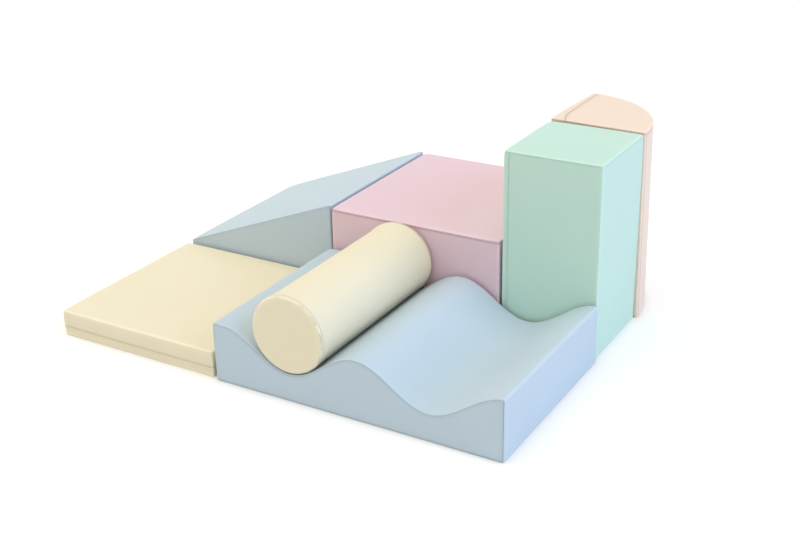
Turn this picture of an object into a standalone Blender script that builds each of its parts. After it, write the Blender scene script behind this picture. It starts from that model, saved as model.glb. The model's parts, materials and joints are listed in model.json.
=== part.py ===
"""Soft play foam climber: seven loose foam modules in zipped leatherette covers, set up as a course.

Metres, +Z up. X runs along the front of the set, Y runs away from it, and the origin lies on the
floor under the middle of the set. Each module hangs on an empty of its own, at its near left corner.
"""
import math

import bmesh
import bpy
from mathutils import Matrix, Vector

# Module sizes, from corner to corner
mat_width = 0.570
mat_depth = 0.595
mat_height = 0.081
wave_length = 0.894
wave_depth = 0.596
wave_crest_height = 0.179
wave_trough_height = 0.082
wave_land = 0.037
wedge_width = 0.5715
wedge_depth = 0.592
wedge_toe_height = 0.089
wedge_ridge_height = 0.314
step_width = 0.578
step_depth = 0.593
step_height = 0.307
column_width = 0.2965
column_depth = 0.310
column_height = 0.588
quarter_radius = 0.303
quarter_height = 0.590
roller_diameter = 0.229
roller_length = 0.594

# Gaps between the modules as they stand on the floor
mat_to_wave = 0.0146
wedge_from_left = 0.008
wedge_from_front = 0.006
wave_to_step = 0.008
wedge_to_step = 0.0072
step_to_column = 0.0085
column_to_quarter = 0.0137
quarter_overhang = 0.0034
quarter_turn = math.radians(-2.17)

# Leatherette, foam and seams
cover_thickness = 0.0012
foam_clearance = 0.0005
seam_gap = 0.0003
touch_gap = 0.0003
side_seam_inset = 0.006
top_seam_inset = 0.012
edge_seam_inset = 0.0075
disc_seam_inset = 0.007
edge_radius = 0.010
wave_edge_radius = 0.008
roller_edge_radius = 0.009
side_swell = 0.002
top_swell = 0.003
base_margin = 0.005
mat_seam_height = 0.031
column_seam_inset = 0.017
quarter_strip_front = 0.042
quarter_strip_middle = 0.024
quarter_strip_bend = 0.030

# Zips, set below the cover's surface
zip_height = 0.038
zip_end_margin = 0.050
zip_slot_width = 0.014
zip_tape_thickness = 0.0008
zip_tape_edge = 0.0015
zip_chain_width = 0.005
zip_chain_height = 0.0016
zip_recess = 0.0004
zip_stop_length = 0.003
slider_length = 0.010
slider_width = 0.010
slider_plate = 0.0012
pull_length = 0.022
pull_neck_width = 0.003
pull_width = 0.006
pull_tip_width = 0.004
pull_thickness = 0.0009

# Colours of the five leatherettes, the foam, the underside and the sliders
cream = (0.90, 0.82, 0.58)
blue = (0.47, 0.60, 0.74)
pink = (0.76, 0.56, 0.61)
green = (0.46, 0.74, 0.62)
peach = (0.92, 0.74, 0.62)
foam_yellow = (0.86, 0.80, 0.58)
base_grey = (0.30, 0.31, 0.33)
slider_grey = (0.72, 0.73, 0.74)
tape_shade = 0.8

# Counts
block_steps = 3
thin_side_steps = 2
edge_segments = 2
wave_facets = 34
arc_facets = 14
roller_facets = 40

overrun = 0.020
weld_distance = 0.00001

# Places of the modules on the floor, from the left end and the back row's front plane
wave_left = mat_width + mat_to_wave
set_right = wave_left + wave_length
step_left = wedge_from_left + wedge_width + wedge_to_step
column_left = step_left + step_width + step_to_column
row_gap = side_swell + touch_gap
wave_front = -row_gap - wave_to_step - wave_depth
mat_front = -row_gap - side_swell - mat_depth
quarter_front = column_depth + column_to_quarter
set_back = quarter_front + quarter_radius
set_middle = Vector((set_right / 2, (wave_front + set_back) / 2, 0))


def clear_scene():
    for obj in list(bpy.data.objects):
        bpy.data.objects.remove(obj, do_unlink=True)


def new_collection(name):
    collection = bpy.data.collections.new(name)
    bpy.context.scene.collection.children.link(collection)
    return collection


def finish_part(obj, colour, roughness, metallic=0):
    """Gives a sub-part its own material and smooth faces with sharp seams."""
    material = bpy.data.materials.new(obj.name + "_finish")
    material.use_nodes = True
    shader = material.node_tree.nodes["Principled BSDF"]
    shader.inputs["Base Color"].default_value = (*colour, 1)
    shader.inputs["Roughness"].default_value = roughness
    shader.inputs["Metallic"].default_value = metallic
    obj.data.materials.clear()
    obj.data.materials.append(material)
    obj.data.shade_smooth()
    obj.data.set_sharp_from_angle(angle=math.radians(40))


def as_cutter(obj):
    """Hides a cutting body from the render and shows it as wire."""
    obj.hide_render = True
    obj.display_type = "WIRE"
    return obj


def mesh_object(name, bm, collection, parent, matrix=None):
    mesh = bpy.data.meshes.new(name)
    bm.to_mesh(mesh)
    bm.free()
    obj = bpy.data.objects.new(name, mesh)
    collection.objects.link(obj)
    obj.parent = parent
    if matrix is not None:
        obj.matrix_local = matrix
    return obj


def box_object(name, low, high, collection, parent, matrix=None):
    """A plain box between two corners of its parent's frame."""
    low = Vector(low)
    high = Vector(high)
    bm = bmesh.new()
    bmesh.ops.create_cube(bm, size=1)
    bmesh.ops.scale(bm, vec=high - low, verts=bm.verts)
    bmesh.ops.translate(bm, vec=(low + high) / 2, verts=bm.verts)
    return mesh_object(name, bm, collection, parent, matrix)


def outline_object(name, points, start, end, collection, parent, matrix=None):
    """A flat outline in the local XY plane, filled and raised from start to end along local Z."""
    curve = bpy.data.curves.new(name, "CURVE")
    curve.dimensions = "2D"
    curve.fill_mode = "BOTH"
    curve.extrude = (end - start) / 2
    spline = curve.splines.new("POLY")
    spline.points.add(len(points) - 1)
    for point, place in zip(spline.points, points):
        point.co = (place[0], place[1], 0, 1)
    spline.use_cyclic_u = True
    drawn = bpy.data.objects.new(name, curve)
    bpy.context.scene.collection.objects.link(drawn)
    depsgraph = bpy.context.evaluated_depsgraph_get()
    mesh = bpy.data.meshes.new_from_object(drawn.evaluated_get(depsgraph))
    bm = bmesh.new()
    bm.from_mesh(mesh)
    bpy.data.objects.remove(drawn)
    bpy.data.meshes.remove(mesh)
    bmesh.ops.remove_doubles(bm, verts=bm.verts, dist=weld_distance)
    bmesh.ops.dissolve_limit(bm, angle_limit=math.radians(0.5), verts=bm.verts, edges=bm.edges)
    bmesh.ops.recalc_face_normals(bm, faces=bm.faces)
    bmesh.ops.translate(bm, vec=(0, 0, (start + end) / 2), verts=bm.verts)
    return mesh_object(name, bm, collection, parent, matrix)


def add_boolean(obj, other, operation):
    modifier = obj.modifiers.new(operation.title() + " " + other.name, "BOOLEAN")
    modifier.operation = operation
    modifier.solver = "EXACT"
    modifier.object = other


def round_edges(obj, radius):
    bevel = obj.modifiers.new("Rounded edges", "BEVEL")
    bevel.width = radius
    bevel.segments = edge_segments
    bevel.limit_method = "ANGLE"
    bevel.angle_limit = math.radians(35)
    obj.modifiers.new("Flat faces", "TRIANGULATE")


def bump(share):
    """0 at both edges of a panel and 1 in its middle."""
    return 4 * share * (1 - share)


class Module:
    """One foam module: an empty at its near left corner, and the bodies made in the empty's frame."""

    def __init__(self, name, place, low, high, radius, colour):
        self.name = name
        self.low = Vector(low)
        self.high = Vector(high)
        self.radius = radius
        self.colour = colour
        self.empty = bpy.data.objects.new(name + "_place", None)
        parts.objects.link(self.empty)
        self.empty.location = Vector(place) - set_middle
        self.openings = []

    def body(self, name, inset, collection):
        """The module's whole shape drawn in by inset, with its edges still sharp."""
        raise NotImplementedError

    def footprint(self, inset):
        """The outline of the module's flat underside, drawn in by inset."""
        x0, y0 = self.low.x + inset, self.low.y + inset
        x1, y1 = self.high.x - inset, self.high.y - inset
        return [(x0, y0), (x1, y0), (x1, y1), (x0, y1)]

    def rounded_body(self, name, inset, collection):
        obj = self.body(name, inset, collection)
        round_edges(obj, self.radius - inset)
        return obj

    def region(self, name, x=(None, None), y=(None, None), z=(None, None)):
        """A box that holds what lies between the given planes, and runs past the rest."""
        low = self.low - Vector((overrun, overrun, overrun))
        high = self.high + Vector((overrun, overrun, overrun))
        for axis, (start, end) in enumerate((x, y, z)):
            if start is not None:
                low[axis] = start
            if end is not None:
                high[axis] = end
        cutter_name = self.name + "_" + name
        return as_cutter(box_object(cutter_name, low, high, cutters, self.empty))

    def make_cavity(self):
        """The space inside the cover, which every panel of it goes round."""
        self.cavity = as_cutter(
            self.rounded_body(self.name + "_cavity", cover_thickness, cutters))

    def make_core(self):
        self.core = self.rounded_body(
            self.name + "_core", cover_thickness + foam_clearance, parts)
        finish_part(self.core, foam_yellow, 0.95)

    def make_base(self):
        """The non-slip panel under the module, and the opening in the cover that it closes."""
        inset = self.radius + base_margin
        opening = outline_object(
            self.name + "_base_opening", self.footprint(inset),
            -overrun, cover_thickness + foam_clearance / 2, cutters, self.empty)
        self.openings.append(as_cutter(opening))
        panel = outline_object(
            self.name + "_base_panel", self.footprint(inset + touch_gap),
            0, cover_thickness, parts, self.empty)
        finish_part(panel, base_grey, 0.8)

    def make_panel(self, name, keep, drop=()):
        """A sewn panel: the cover's wall inside the body keep and outside those in drop."""
        panel = self.rounded_body(self.name + "_" + name, 0, parts)
        add_boolean(panel, self.cavity, "DIFFERENCE")
        for other in list(self.openings) + list(drop):
            add_boolean(panel, other, "DIFFERENCE")
        add_boolean(panel, keep, "INTERSECT")
        finish_part(panel, self.colour, 0.42)

    def make_zip(self, middle, along, outward, length):
        """A straight zip below the cover's surface, with its slider at the near end.

        middle is the zip's middle on the cover's face; along and outward are unit directions.
        """
        along = Vector(along)
        outward = Vector(outward)
        across = outward.cross(along)
        turn = Matrix((along, across, outward)).transposed().to_4x4()
        face = Matrix.Translation(Vector(middle)) @ turn
        half = length / 2
        slot = zip_slot_width / 2
        slider_top = -zip_recess
        plate_low = slider_top - slider_plate
        chain_top = plate_low - touch_gap
        tape_top = chain_top - zip_chain_height
        tape_low = tape_top - zip_tape_thickness
        wall_low = slot + touch_gap
        wall_high = wall_low + zip_tape_edge
        wall_top = -cover_thickness - touch_gap

        cover_slot = box_object(
            self.name + "_zip_slot", (-half, -slot, tape_low), (half, slot, overrun),
            cutters, self.empty, face)
        self.openings.append(as_cutter(cover_slot))
        groove_half = half + zip_tape_edge + 2 * touch_gap
        groove_side = wall_high + touch_gap
        groove = box_object(
            self.name + "_zip_groove", (-groove_half, -groove_side, tape_low - touch_gap),
            (groove_half, groove_side, overrun), cutters, self.empty, face)
        add_boolean(self.core, as_cutter(groove), "DIFFERENCE")

        chain = zip_chain_width / 2
        section = [
            (-wall_high, wall_top), (-wall_high, tape_low), (wall_high, tape_low),
            (wall_high, wall_top), (wall_low, wall_top), (wall_low, tape_top),
            (chain, tape_top), (chain / 2, chain_top), (-chain / 2, chain_top),
            (-chain, tape_top), (-wall_low, tape_top), (-wall_low, wall_top)]
        along_axis = Matrix(((0, 0, 1, 0), (1, 0, 0, 0), (0, 1, 0, 0), (0, 0, 0, 1)))
        tape_half = half + zip_tape_edge
        tape = outline_object(
            self.name + "_zip", section, -tape_half, tape_half, parts, self.empty,
            face @ along_axis)
        finish_part(tape, [tape_shade * channel for channel in self.colour], 0.6)

        leg_low = tape_top + touch_gap
        leg_inner = chain + touch_gap
        leg_outer = slider_width / 2
        bridge = [
            (-leg_outer, slider_top), (-leg_outer, leg_low), (-leg_inner, leg_low),
            (-leg_inner, plate_low), (leg_inner, plate_low), (leg_inner, leg_low),
            (leg_outer, leg_low), (leg_outer, slider_top)]
        slider_middle = -half + zip_stop_length + slider_length / 2
        slider_place = face @ Matrix.Translation((slider_middle, 0, 0))
        slider = outline_object(
            self.name + "_zip_slider", bridge, -slider_length / 2, slider_length / 2,
            parts, self.empty, slider_place @ along_axis)
        pull_start = slider_length / 2 - slider_plate
        pull_end = slider_length / 2 + pull_length
        neck_end = pull_start + pull_length / 3
        shoulder = pull_end - pull_width / 2
        near_side = [
            (pull_start, -pull_neck_width / 2), (neck_end, -pull_neck_width / 2),
            (shoulder, -pull_width / 2), (pull_end, -pull_tip_width / 2)]
        pull_shape = near_side + [(x, -y) for x, y in reversed(near_side)]
        pull_top = slider_top - (slider_plate - pull_thickness) / 2
        pull = outline_object(
            self.name + "_zip_pull", pull_shape, pull_top - pull_thickness, pull_top,
            cutters, self.empty, slider_place)
        add_boolean(slider, as_cutter(pull), "UNION")
        finish_part(slider, slider_grey, 0.3, 1)


class BlockModule(Module):
    """A block with a level underside and a top that may slope along X, taut over its foam."""

    def __init__(self, name, place, size, heights, colour, side_steps=block_steps):
        super().__init__(
            name, place, (0, 0, 0), (size[0], size[1], max(heights)), edge_radius, colour)
        self.heights = heights
        self.steps = (block_steps, block_steps, side_steps)

    def body(self, name, inset, collection):
        bm = bmesh.new()
        bmesh.ops.create_cube(bm, size=1)
        bmesh.ops.translate(bm, vec=(0.5, 0.5, 0.5), verts=bm.verts)
        for axis, steps in enumerate(self.steps):
            normal = [0, 0, 0]
            normal[axis] = 1
            for step in range(1, steps):
                plane = [0, 0, 0]
                plane[axis] = step / steps
                geometry = list(bm.verts) + list(bm.edges) + list(bm.faces)
                bmesh.ops.bisect_plane(bm, geom=geometry, plane_co=plane, plane_no=normal)
        width, depth = self.high.x, self.high.y
        left_height, right_height = self.heights
        slope = (right_height - left_height) / width
        drop = inset * math.sqrt(1 + slope ** 2)
        for vert in bm.verts:
            u, v, w = vert.co
            x = inset + (width - 2 * inset) * u
            y = inset + (depth - 2 * inset) * v
            top = left_height + slope * x - drop
            z = inset + (top - inset) * w
            x += side_swell * (2 * u - 1) * bump(v) * bump(w)
            y += side_swell * (2 * v - 1) * bump(u) * bump(w)
            z += top_swell * w * bump(u) * bump(v)
            vert.co = (x, y, z)
        return mesh_object(name, bm, collection, self.empty)


class WaveModule(Module):
    """A block whose top rolls in a cosine along X, from a crest at each end over a middle crest."""

    def __init__(self, name, place, colour):
        super().__init__(
            name, place, (0, 0, 0), (wave_length, wave_depth, wave_crest_height),
            wave_edge_radius, colour)

    def body(self, name, inset, collection):
        points = [(wave_length - inset, inset)]
        span = wave_length - 2 * inset
        for facet in range(wave_facets + 1):
            x = wave_length - inset - span * facet / wave_facets
            slope = wave_slope(x)
            reach = inset / math.sqrt(1 + slope ** 2)
            points.append((x + slope * reach, wave_top(x) - reach))
        points.append((inset, inset))
        upright = Matrix.Rotation(math.radians(90), 4, "X")
        return outline_object(
            name, points, inset - wave_depth, -inset, collection, self.empty, upright)


class QuarterModule(Module):
    """An upright quarter of a round column, its square corner at the near left."""

    def __init__(self, name, place, colour):
        super().__init__(
            name, place, (0, 0, 0), (quarter_radius, quarter_radius, quarter_height),
            edge_radius, colour)
        self.empty.rotation_euler.z = quarter_turn

    def footprint(self, inset):
        radius = quarter_radius - inset
        first = math.asin(inset / radius)
        last = math.pi / 2 - first
        points = [(inset, inset)]
        for facet in range(arc_facets + 1):
            angle = first + (last - first) * facet / arc_facets
            points.append((radius * math.cos(angle), radius * math.sin(angle)))
        return points

    def body(self, name, inset, collection):
        return outline_object(
            name, self.footprint(inset), inset, quarter_height - inset, collection, self.empty)


class RollerModule(Module):
    """A plain cylinder along Y, with its empty on the axis it rolls about."""

    def __init__(self, name, place, colour):
        radius = roller_diameter / 2
        half = roller_length / 2
        super().__init__(
            name, place, (-radius, -half, -radius), (radius, half, radius),
            roller_edge_radius, colour)

    def body(self, name, inset, collection):
        radius = roller_diameter / 2 - inset
        bm = bmesh.new()
        bmesh.ops.create_cone(
            bm, cap_ends=True, segments=roller_facets, radius1=radius, radius2=radius,
            depth=roller_length - 2 * inset)
        lying = Matrix.Rotation(math.radians(90), 4, "X")
        return mesh_object(name, bm, collection, self.empty, lying)


def wave_top(x):
    """Height of the wave's top at x from its left end."""
    middle = (wave_crest_height + wave_trough_height) / 2
    swing = (wave_crest_height - wave_trough_height) / 2
    if x < wave_land:
        return wave_crest_height
    return middle + swing * math.cos(2 * math.pi * (x - wave_land) / wave_pitch())


def wave_slope(x):
    swing = (wave_crest_height - wave_trough_height) / 2
    if x < wave_land:
        return 0.0
    turn = 2 * math.pi / wave_pitch()
    return -swing * turn * math.sin(turn * (x - wave_land))


def wave_pitch():
    """Crest to crest: two whole waves fill the module behind its left land."""
    return (wave_length - wave_land) / 2


def roller_seat_height(trough):
    """Height of the roller's axis where it just clears the faceted flanks of a trough."""
    reach = roller_diameter / 2 + touch_gap
    corners = [wave_length * facet / wave_facets for facet in range(wave_facets + 1)]
    best = 0
    for left, right in zip(corners, corners[1:]):
        for step in range(block_steps):
            share = step / block_steps
            x = left + (right - left) * share
            z = wave_top(left) + (wave_top(right) - wave_top(left)) * share
            away = x - trough
            if abs(away) < reach:
                best = max(best, z + math.sqrt(reach ** 2 - away ** 2))
    return best


def make_mat():
    module = BlockModule(
        "mat", (0, mat_front, 0), (mat_width, mat_depth), (mat_height, mat_height),
        cream, thin_side_steps)
    module.make_cavity()
    module.make_core()
    module.make_base()
    zip_length = mat_depth - 2 * zip_end_margin
    module.make_zip((0, mat_depth / 2, mat_seam_height), (0, 1, 0), (-1, 0, 0), zip_length)
    above = module.region("above_seam", z=(mat_seam_height + seam_gap / 2, None))
    below = module.region("below_seam", z=(None, mat_seam_height - seam_gap / 2))
    module.make_panel("upper_cover", above)
    module.make_panel("lower_cover", below)


def make_side_panels(module):
    """The two flat side panels of a module and the long panel that wraps round between them."""
    near_seam = side_seam_inset
    far_seam = module.high.y - side_seam_inset
    near = module.region("near_side", y=(None, near_seam - seam_gap / 2))
    between = module.region(
        "between_sides", y=(near_seam + seam_gap / 2, far_seam - seam_gap / 2))
    far = module.region("far_side", y=(far_seam + seam_gap / 2, None))
    module.make_panel("front_panel", near)
    module.make_panel("wrap_panel", between)
    module.make_panel("back_panel", far)


def make_wave():
    module = WaveModule("wave", (wave_left, wave_front, 0), blue)
    module.make_cavity()
    module.make_core()
    module.make_base()
    zip_length = wave_depth - 2 * zip_end_margin
    module.make_zip((0, wave_depth / 2, zip_height), (0, 1, 0), (-1, 0, 0), zip_length)
    make_side_panels(module)


def make_wedge():
    module = BlockModule(
        "wedge", (wedge_from_left, wedge_from_front, 0), (wedge_width, wedge_depth),
        (wedge_toe_height, wedge_ridge_height), blue)
    module.make_cavity()
    module.make_core()
    module.make_base()
    zip_length = wedge_width - 2 * zip_end_margin
    module.make_zip((wedge_width / 2, wedge_depth, zip_height), (-1, 0, 0), (0, 1, 0), zip_length)
    make_side_panels(module)


def make_top_and_band(module, inset, drop=()):
    """A top panel turned down over the edges, sewn to the band that goes round the sides."""
    seam = module.high.z - inset
    above = module.region("above_seam", z=(seam + seam_gap / 2, None))
    below = module.region("below_seam", z=(None, seam - seam_gap / 2))
    module.make_panel("top_panel", above)
    module.make_panel("side_band", below, drop)


def make_step():
    module = BlockModule(
        "step", (step_left, 0, 0), (step_width, step_depth), (step_height, step_height),
        pink)
    module.make_cavity()
    module.make_core()
    module.make_base()
    zip_length = step_width - 2 * zip_end_margin
    module.make_zip((step_width / 2, step_depth, zip_height), (-1, 0, 0), (0, 1, 0), zip_length)
    make_top_and_band(module, top_seam_inset)


def make_column():
    module = BlockModule(
        "column", (column_left, 0, 0), (column_width, column_depth),
        (column_height, column_height), green)
    module.make_cavity()
    module.make_core()
    module.make_base()
    zip_length = column_width - 2 * zip_end_margin
    module.make_zip(
        (column_width / 2, column_depth, zip_height), (-1, 0, 0), (0, 1, 0), zip_length)
    slit_low = (column_seam_inset - seam_gap / 2, -overrun, -overrun)
    slit_end = edge_radius + base_margin / 2
    slit_high = (column_seam_inset + seam_gap / 2, slit_end, column_height)
    slit = as_cutter(box_object("column_closing_seam", slit_low, slit_high, cutters, module.empty))
    make_top_and_band(module, edge_seam_inset, [slit])


def make_quarter():
    module = QuarterModule(
        "quarter", (column_left - quarter_overhang, quarter_front, 0), peach)
    module.make_cavity()
    module.make_core()
    module.make_base()
    zip_length = quarter_radius - 2 * zip_end_margin
    module.make_zip((0, quarter_radius / 2, zip_height), (0, 1, 0), (-1, 0, 0), zip_length)
    seam = quarter_height - edge_seam_inset
    before = side_seam_inset - seam_gap / 2
    after = side_seam_inset + seam_gap / 2
    left = module.region("left_side", x=(None, before))
    above = module.region("above_seam", x=(after, None), z=(seam + seam_gap / 2, None))
    near = module.region(
        "front_side", x=(after, None), y=(None, before), z=(None, seam - seam_gap / 2))
    beyond = module.region(
        "round_side", x=(after, None), y=(after, None), z=(None, seam - seam_gap / 2))
    reach = overrun / 2

    def strip(name, shift):
        """The part of the top that belongs to the left panel, narrowing towards the back."""
        line = [
            (quarter_strip_front + shift, -reach), (quarter_strip_front + shift, 0),
            (quarter_strip_middle + shift, quarter_strip_bend),
            (side_seam_inset / 2 + shift, quarter_radius + reach)]
        outline = [(-reach, -reach)] + line + [(-reach, quarter_radius + reach)]
        level = seam + seam_gap / 2 - (touch_gap if shift > 0 else 0)
        return as_cutter(outline_object(
            "quarter_" + name, outline, level, quarter_height + reach, cutters, module.empty))

    add_boolean(left, strip("top_strip", -seam_gap / 2), "UNION")
    module.make_panel("left_panel", left)
    module.make_panel("top_panel", above, [strip("top_strip_clear", seam_gap / 2)])
    module.make_panel("front_panel", near)
    module.make_panel("round_panel", beyond)


def make_roller():
    trough = wave_land + wave_pitch() / 2
    half = roller_length / 2
    place = (wave_left + trough, wave_front + wave_depth / 2, roller_seat_height(trough))
    module = RollerModule("roller", place, cream)
    module.make_cavity()
    module.make_core()
    zip_length = roller_length - 2 * zip_end_margin
    tape_half = zip_slot_width / 2 + touch_gap + zip_tape_edge
    radius = roller_diameter / 2
    flat = radius * math.cos(math.pi / roller_facets)
    zip_low = math.sqrt(flat ** 2 - tape_half ** 2)
    module.make_zip((0, 0, -zip_low), (0, 1, 0), (0, 0, -1), zip_length)
    seam = half - disc_seam_inset
    near = module.region("near_end", y=(None, -seam - seam_gap / 2))
    between = module.region(
        "between_ends", y=(-seam + seam_gap / 2, seam - seam_gap / 2))
    far = module.region("far_end", y=(seam + seam_gap / 2, None))
    module.make_panel("front_disc", near)
    module.make_panel("sleeve", between)
    module.make_panel("rear_disc", far)


clear_scene()
parts = new_collection("soft_play_foam_climber")
cutters = new_collection("cutters")
make_mat()
make_wave()
make_wedge()
make_step()
make_column()
make_quarter()
make_roller()
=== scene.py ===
"""Soft play foam climber: the looks of seven loose foam modules in zipped leatherette covers.

Metres, +Z up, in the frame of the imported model. The file follows the set as it is put together:
foam blocks first, then each sewn cover, the non-slip bases, the zips, and the studio they stand in.
"""
import heapq
import json
import math

import bmesh
import bpy
import numpy as np
from mathutils import Matrix, Vector, noise
from mathutils.bvhtree import BVHTree
from mathutils.geometry import delaunay_2d_cdt


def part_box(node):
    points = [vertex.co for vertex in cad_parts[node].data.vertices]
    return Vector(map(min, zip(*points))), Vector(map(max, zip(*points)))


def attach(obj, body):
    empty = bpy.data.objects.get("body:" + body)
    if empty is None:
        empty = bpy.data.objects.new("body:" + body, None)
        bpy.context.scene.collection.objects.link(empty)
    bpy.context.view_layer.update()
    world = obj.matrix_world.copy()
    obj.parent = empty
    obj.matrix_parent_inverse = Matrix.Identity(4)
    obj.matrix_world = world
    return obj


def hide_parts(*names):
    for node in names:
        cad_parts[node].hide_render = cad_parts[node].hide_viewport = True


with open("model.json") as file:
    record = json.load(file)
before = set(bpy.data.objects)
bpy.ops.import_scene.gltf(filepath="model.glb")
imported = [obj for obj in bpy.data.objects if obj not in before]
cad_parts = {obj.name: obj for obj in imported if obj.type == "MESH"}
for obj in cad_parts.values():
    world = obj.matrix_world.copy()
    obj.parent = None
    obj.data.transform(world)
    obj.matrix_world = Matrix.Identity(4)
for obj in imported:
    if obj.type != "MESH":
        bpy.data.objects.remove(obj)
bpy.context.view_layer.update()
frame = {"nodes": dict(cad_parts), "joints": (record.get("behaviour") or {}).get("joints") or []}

# Foam blocks. Each module is cut from firm cream polyurethane foam, with its long edges rounded.
# The block fills its cover tightly, and nothing but the cover holds it.
mm = 0.001
mat_edge_radius = 5 * mm
block_edge_radius = 4 * mm
quarter_edge_radius = 5 * mm
wave_edge_radius = 5 * mm
roller_edge_radius = 9 * mm
panel_setback = 15.3 * mm
side_swell = 2 * mm
top_swell = 3 * mm
foam_depth = 5 * mm
foam_spacing = 20 * mm
corner_turns = 4
close_spacing = 7.5 * mm
open_spacing = 16 * mm
merge_distance = 0.01 * mm
near_net = (0.75, 3.6)  # the close net lies this many close spacings from the lines
far_net = 4.4  # and the open net at least this many


def stations(length, spacing, marks=()):
    """Stops from 0 to length no further apart than spacing, with one at each mark."""
    stops = [0.0]
    for mark in sorted([mark for mark in marks if mark < length - merge_distance] + [length]):
        if merge_distance < mark - stops[-1]:
            gap = mark - stops[-1]
            count = max(1, math.ceil(gap / spacing - 0.01))
            start = stops[-1]
            stops += [start + gap * step / count for step in range(1, count + 1)]
    return stops


def line_piece(start, end):
    """A straight stretch of an outline: its length, and the inner point and normal at a stop."""
    start, end = Vector(start), Vector(end)
    along = (end - start).normalized()
    outward = Vector((along.y, -along.x))
    return (end - start).length, lambda stop: (start + along * stop, outward)


def turn_piece(place, first, last, radius):
    """A rounded corner: the normal turns from first to last about one inner point."""
    place, first = Vector(place), Vector(first)
    angle = math.atan2(first.x * last.y - first.y * last.x, first.dot(last))

    def at(stop):
        turned = Matrix.Rotation(stop / radius, 2) @ first
        return place, turned

    return angle * radius, at


def arc_piece(centre, radius, start, end, edge):
    """A stretch of circle from angle start to end, whose inner line lies one edge radius in."""
    centre = Vector(centre)

    def at(stop):
        angle = start + stop / radius
        outward = Vector((math.cos(angle), math.sin(angle)))
        return centre + outward * (radius - edge), outward

    return (end - start) * radius, at


def ring_of(pieces, radius, spacing, marks=()):
    """The closed ring of inner points and normals, with a point at each mark along it."""
    whole = sum(length for length, _ in pieces)
    ring = []
    start = 0.0
    for length, at in pieces:
        rounded = length <= radius * math.pi * 0.75
        apart = length / corner_turns if rounded else spacing
        own = [mark % whole - start for mark in marks]
        own = [stop for stop in own if merge_distance < stop < length - merge_distance]
        ring += [at(stop) for stop in stations(length, apart, own)[:-1]]
        start += length
    return ring


def rounded_corners(lines, radius):
    """Puts a rounded corner after each straight or curved stretch of an outline."""
    pieces = []
    for (length, at), (_, following_at) in zip(lines, lines[1:] + lines[:1]):
        pieces.append((length, at))
        place, first = at(length)
        pieces.append(turn_piece(place, first, following_at(0)[1], radius))
    return pieces


def box_outline(corners, radius):
    """An outline through corners in order, leftwards round, with each corner rounded."""
    inner = []
    for number, corner in enumerate(corners):
        corner = Vector(corner)
        before = (corner - Vector(corners[number - 1])).normalized()
        after = (Vector(corners[(number + 1) % len(corners)]) - corner).normalized()
        half = math.sqrt((1 + before.dot(after)) / 2)
        inward = (after - before).normalized()
        inner.append(corner + inward * radius / half)
    following = inner[1:] + inner[:1]
    return rounded_corners([line_piece(start, end) for start, end in zip(inner, following)], radius)


def rows_of(length, radius, spacing, marks=()):
    """Rows from one end of a prism to the other, as (level, tilt): round the edge, along, round."""
    quarter = radius * math.pi / 2
    side = length - 2 * radius
    bends = [quarter * step / corner_turns for step in range(1, corner_turns + 1)]
    stops = stations(
        2 * quarter + side, spacing,
        bends + [quarter + side + bend for bend in [0] + bends[:-1]] + list(marks))
    rows = []
    for stop in stops:
        if stop < quarter:
            rows.append((radius, stop / radius - math.pi / 2))
        elif stop <= quarter + side:
            rows.append((radius + stop - quarter, 0.0))
        else:
            rows.append((radius + side, (stop - quarter - side) / radius))
    return rows


def meridian(distance, radius):
    """How far along the surface from the end's rim a row lies that is distance from the end."""
    if distance >= radius:
        return radius * math.pi / 2 + distance - radius
    return radius * math.acos(1 - distance / radius)


def inside_loop(points, loop):
    """Which of the points lie inside a closed loop."""
    found = np.zeros(len(points), bool)
    x, y = points[:, 0], points[:, 1]
    for (x0, y0), (x1, y1) in zip(loop, np.roll(loop, -1, axis=0)):
        crosses = (y0 > y) != (y1 > y)
        with np.errstate(divide="ignore", invalid="ignore"):
            found ^= crosses & (x < (x1 - x0) * (y - y0) / (y1 - y0) + x0)
    return found


def fill_end(bm, rim, level, facing, close, lines=()):
    """Fills an end face inside its rim with an even net of triangles that keeps the given lines."""
    loop = np.array([(vert.co.x, vert.co.y) for vert in rim])
    low, high = loop.min(axis=0), loop.max(axis=0)
    points = [tuple(place) for place in loop]
    count = len(points)
    edges = [(number, (number + 1) % count) for number in range(count)]
    for closed, places in lines:
        stops = []
        for place in places:
            apart = np.hypot(*(loop - tuple(place)).T)
            if apart.min() < 5 * merge_distance:
                stops.append(int(apart.argmin()))
            else:
                stops.append(len(points))
                points.append(tuple(place))
        edges += list(zip(stops, stops[1:]))
        if closed:
            edges.append((stops[-1], stops[0]))
    taken = np.array(points)
    starts, ends = taken[[edge[0] for edge in edges]], taken[[edge[1] for edge in edges]]
    taken = np.concatenate([starts + (ends - starts) * share for share in (0, 0.25, 0.5, 0.75)])
    for pitch, nearest, furthest in (
            (close, near_net[0] * close, near_net[1] * close),
            (open_spacing, far_net * close, math.inf)):
        across = np.arange(low[0], high[0], pitch)
        along = np.arange(low[1], high[1], pitch * math.sqrt(3) / 2)
        net = np.array([
            (x + (row % 2) * pitch / 2, y) for row, y in enumerate(along) for x in across])
        net = net[inside_loop(net, loop)]
        if len(net) > 0:
            away = np.sqrt(((net[:, None] - taken[None]) ** 2).sum(axis=2)).min(axis=1)
            points += [tuple(place) for place in net[(away > nearest) & (away < furthest)]]
    places, _, faces, sources, _, _ = delaunay_2d_cdt(
        [Vector(point) for point in points], edges, [], 1, merge_distance)
    used = {number for corners in faces for number in corners}
    verts = {}
    for number in sorted(used):
        known = [source for source in sources[number] if source < count]
        verts[number] = rim[known[0]] if known else bm.verts.new((*places[number], level))
    for corners in faces:
        order = corners if facing > 0 else list(reversed(corners))
        bm.faces.new([verts[number] for number in order])


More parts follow.
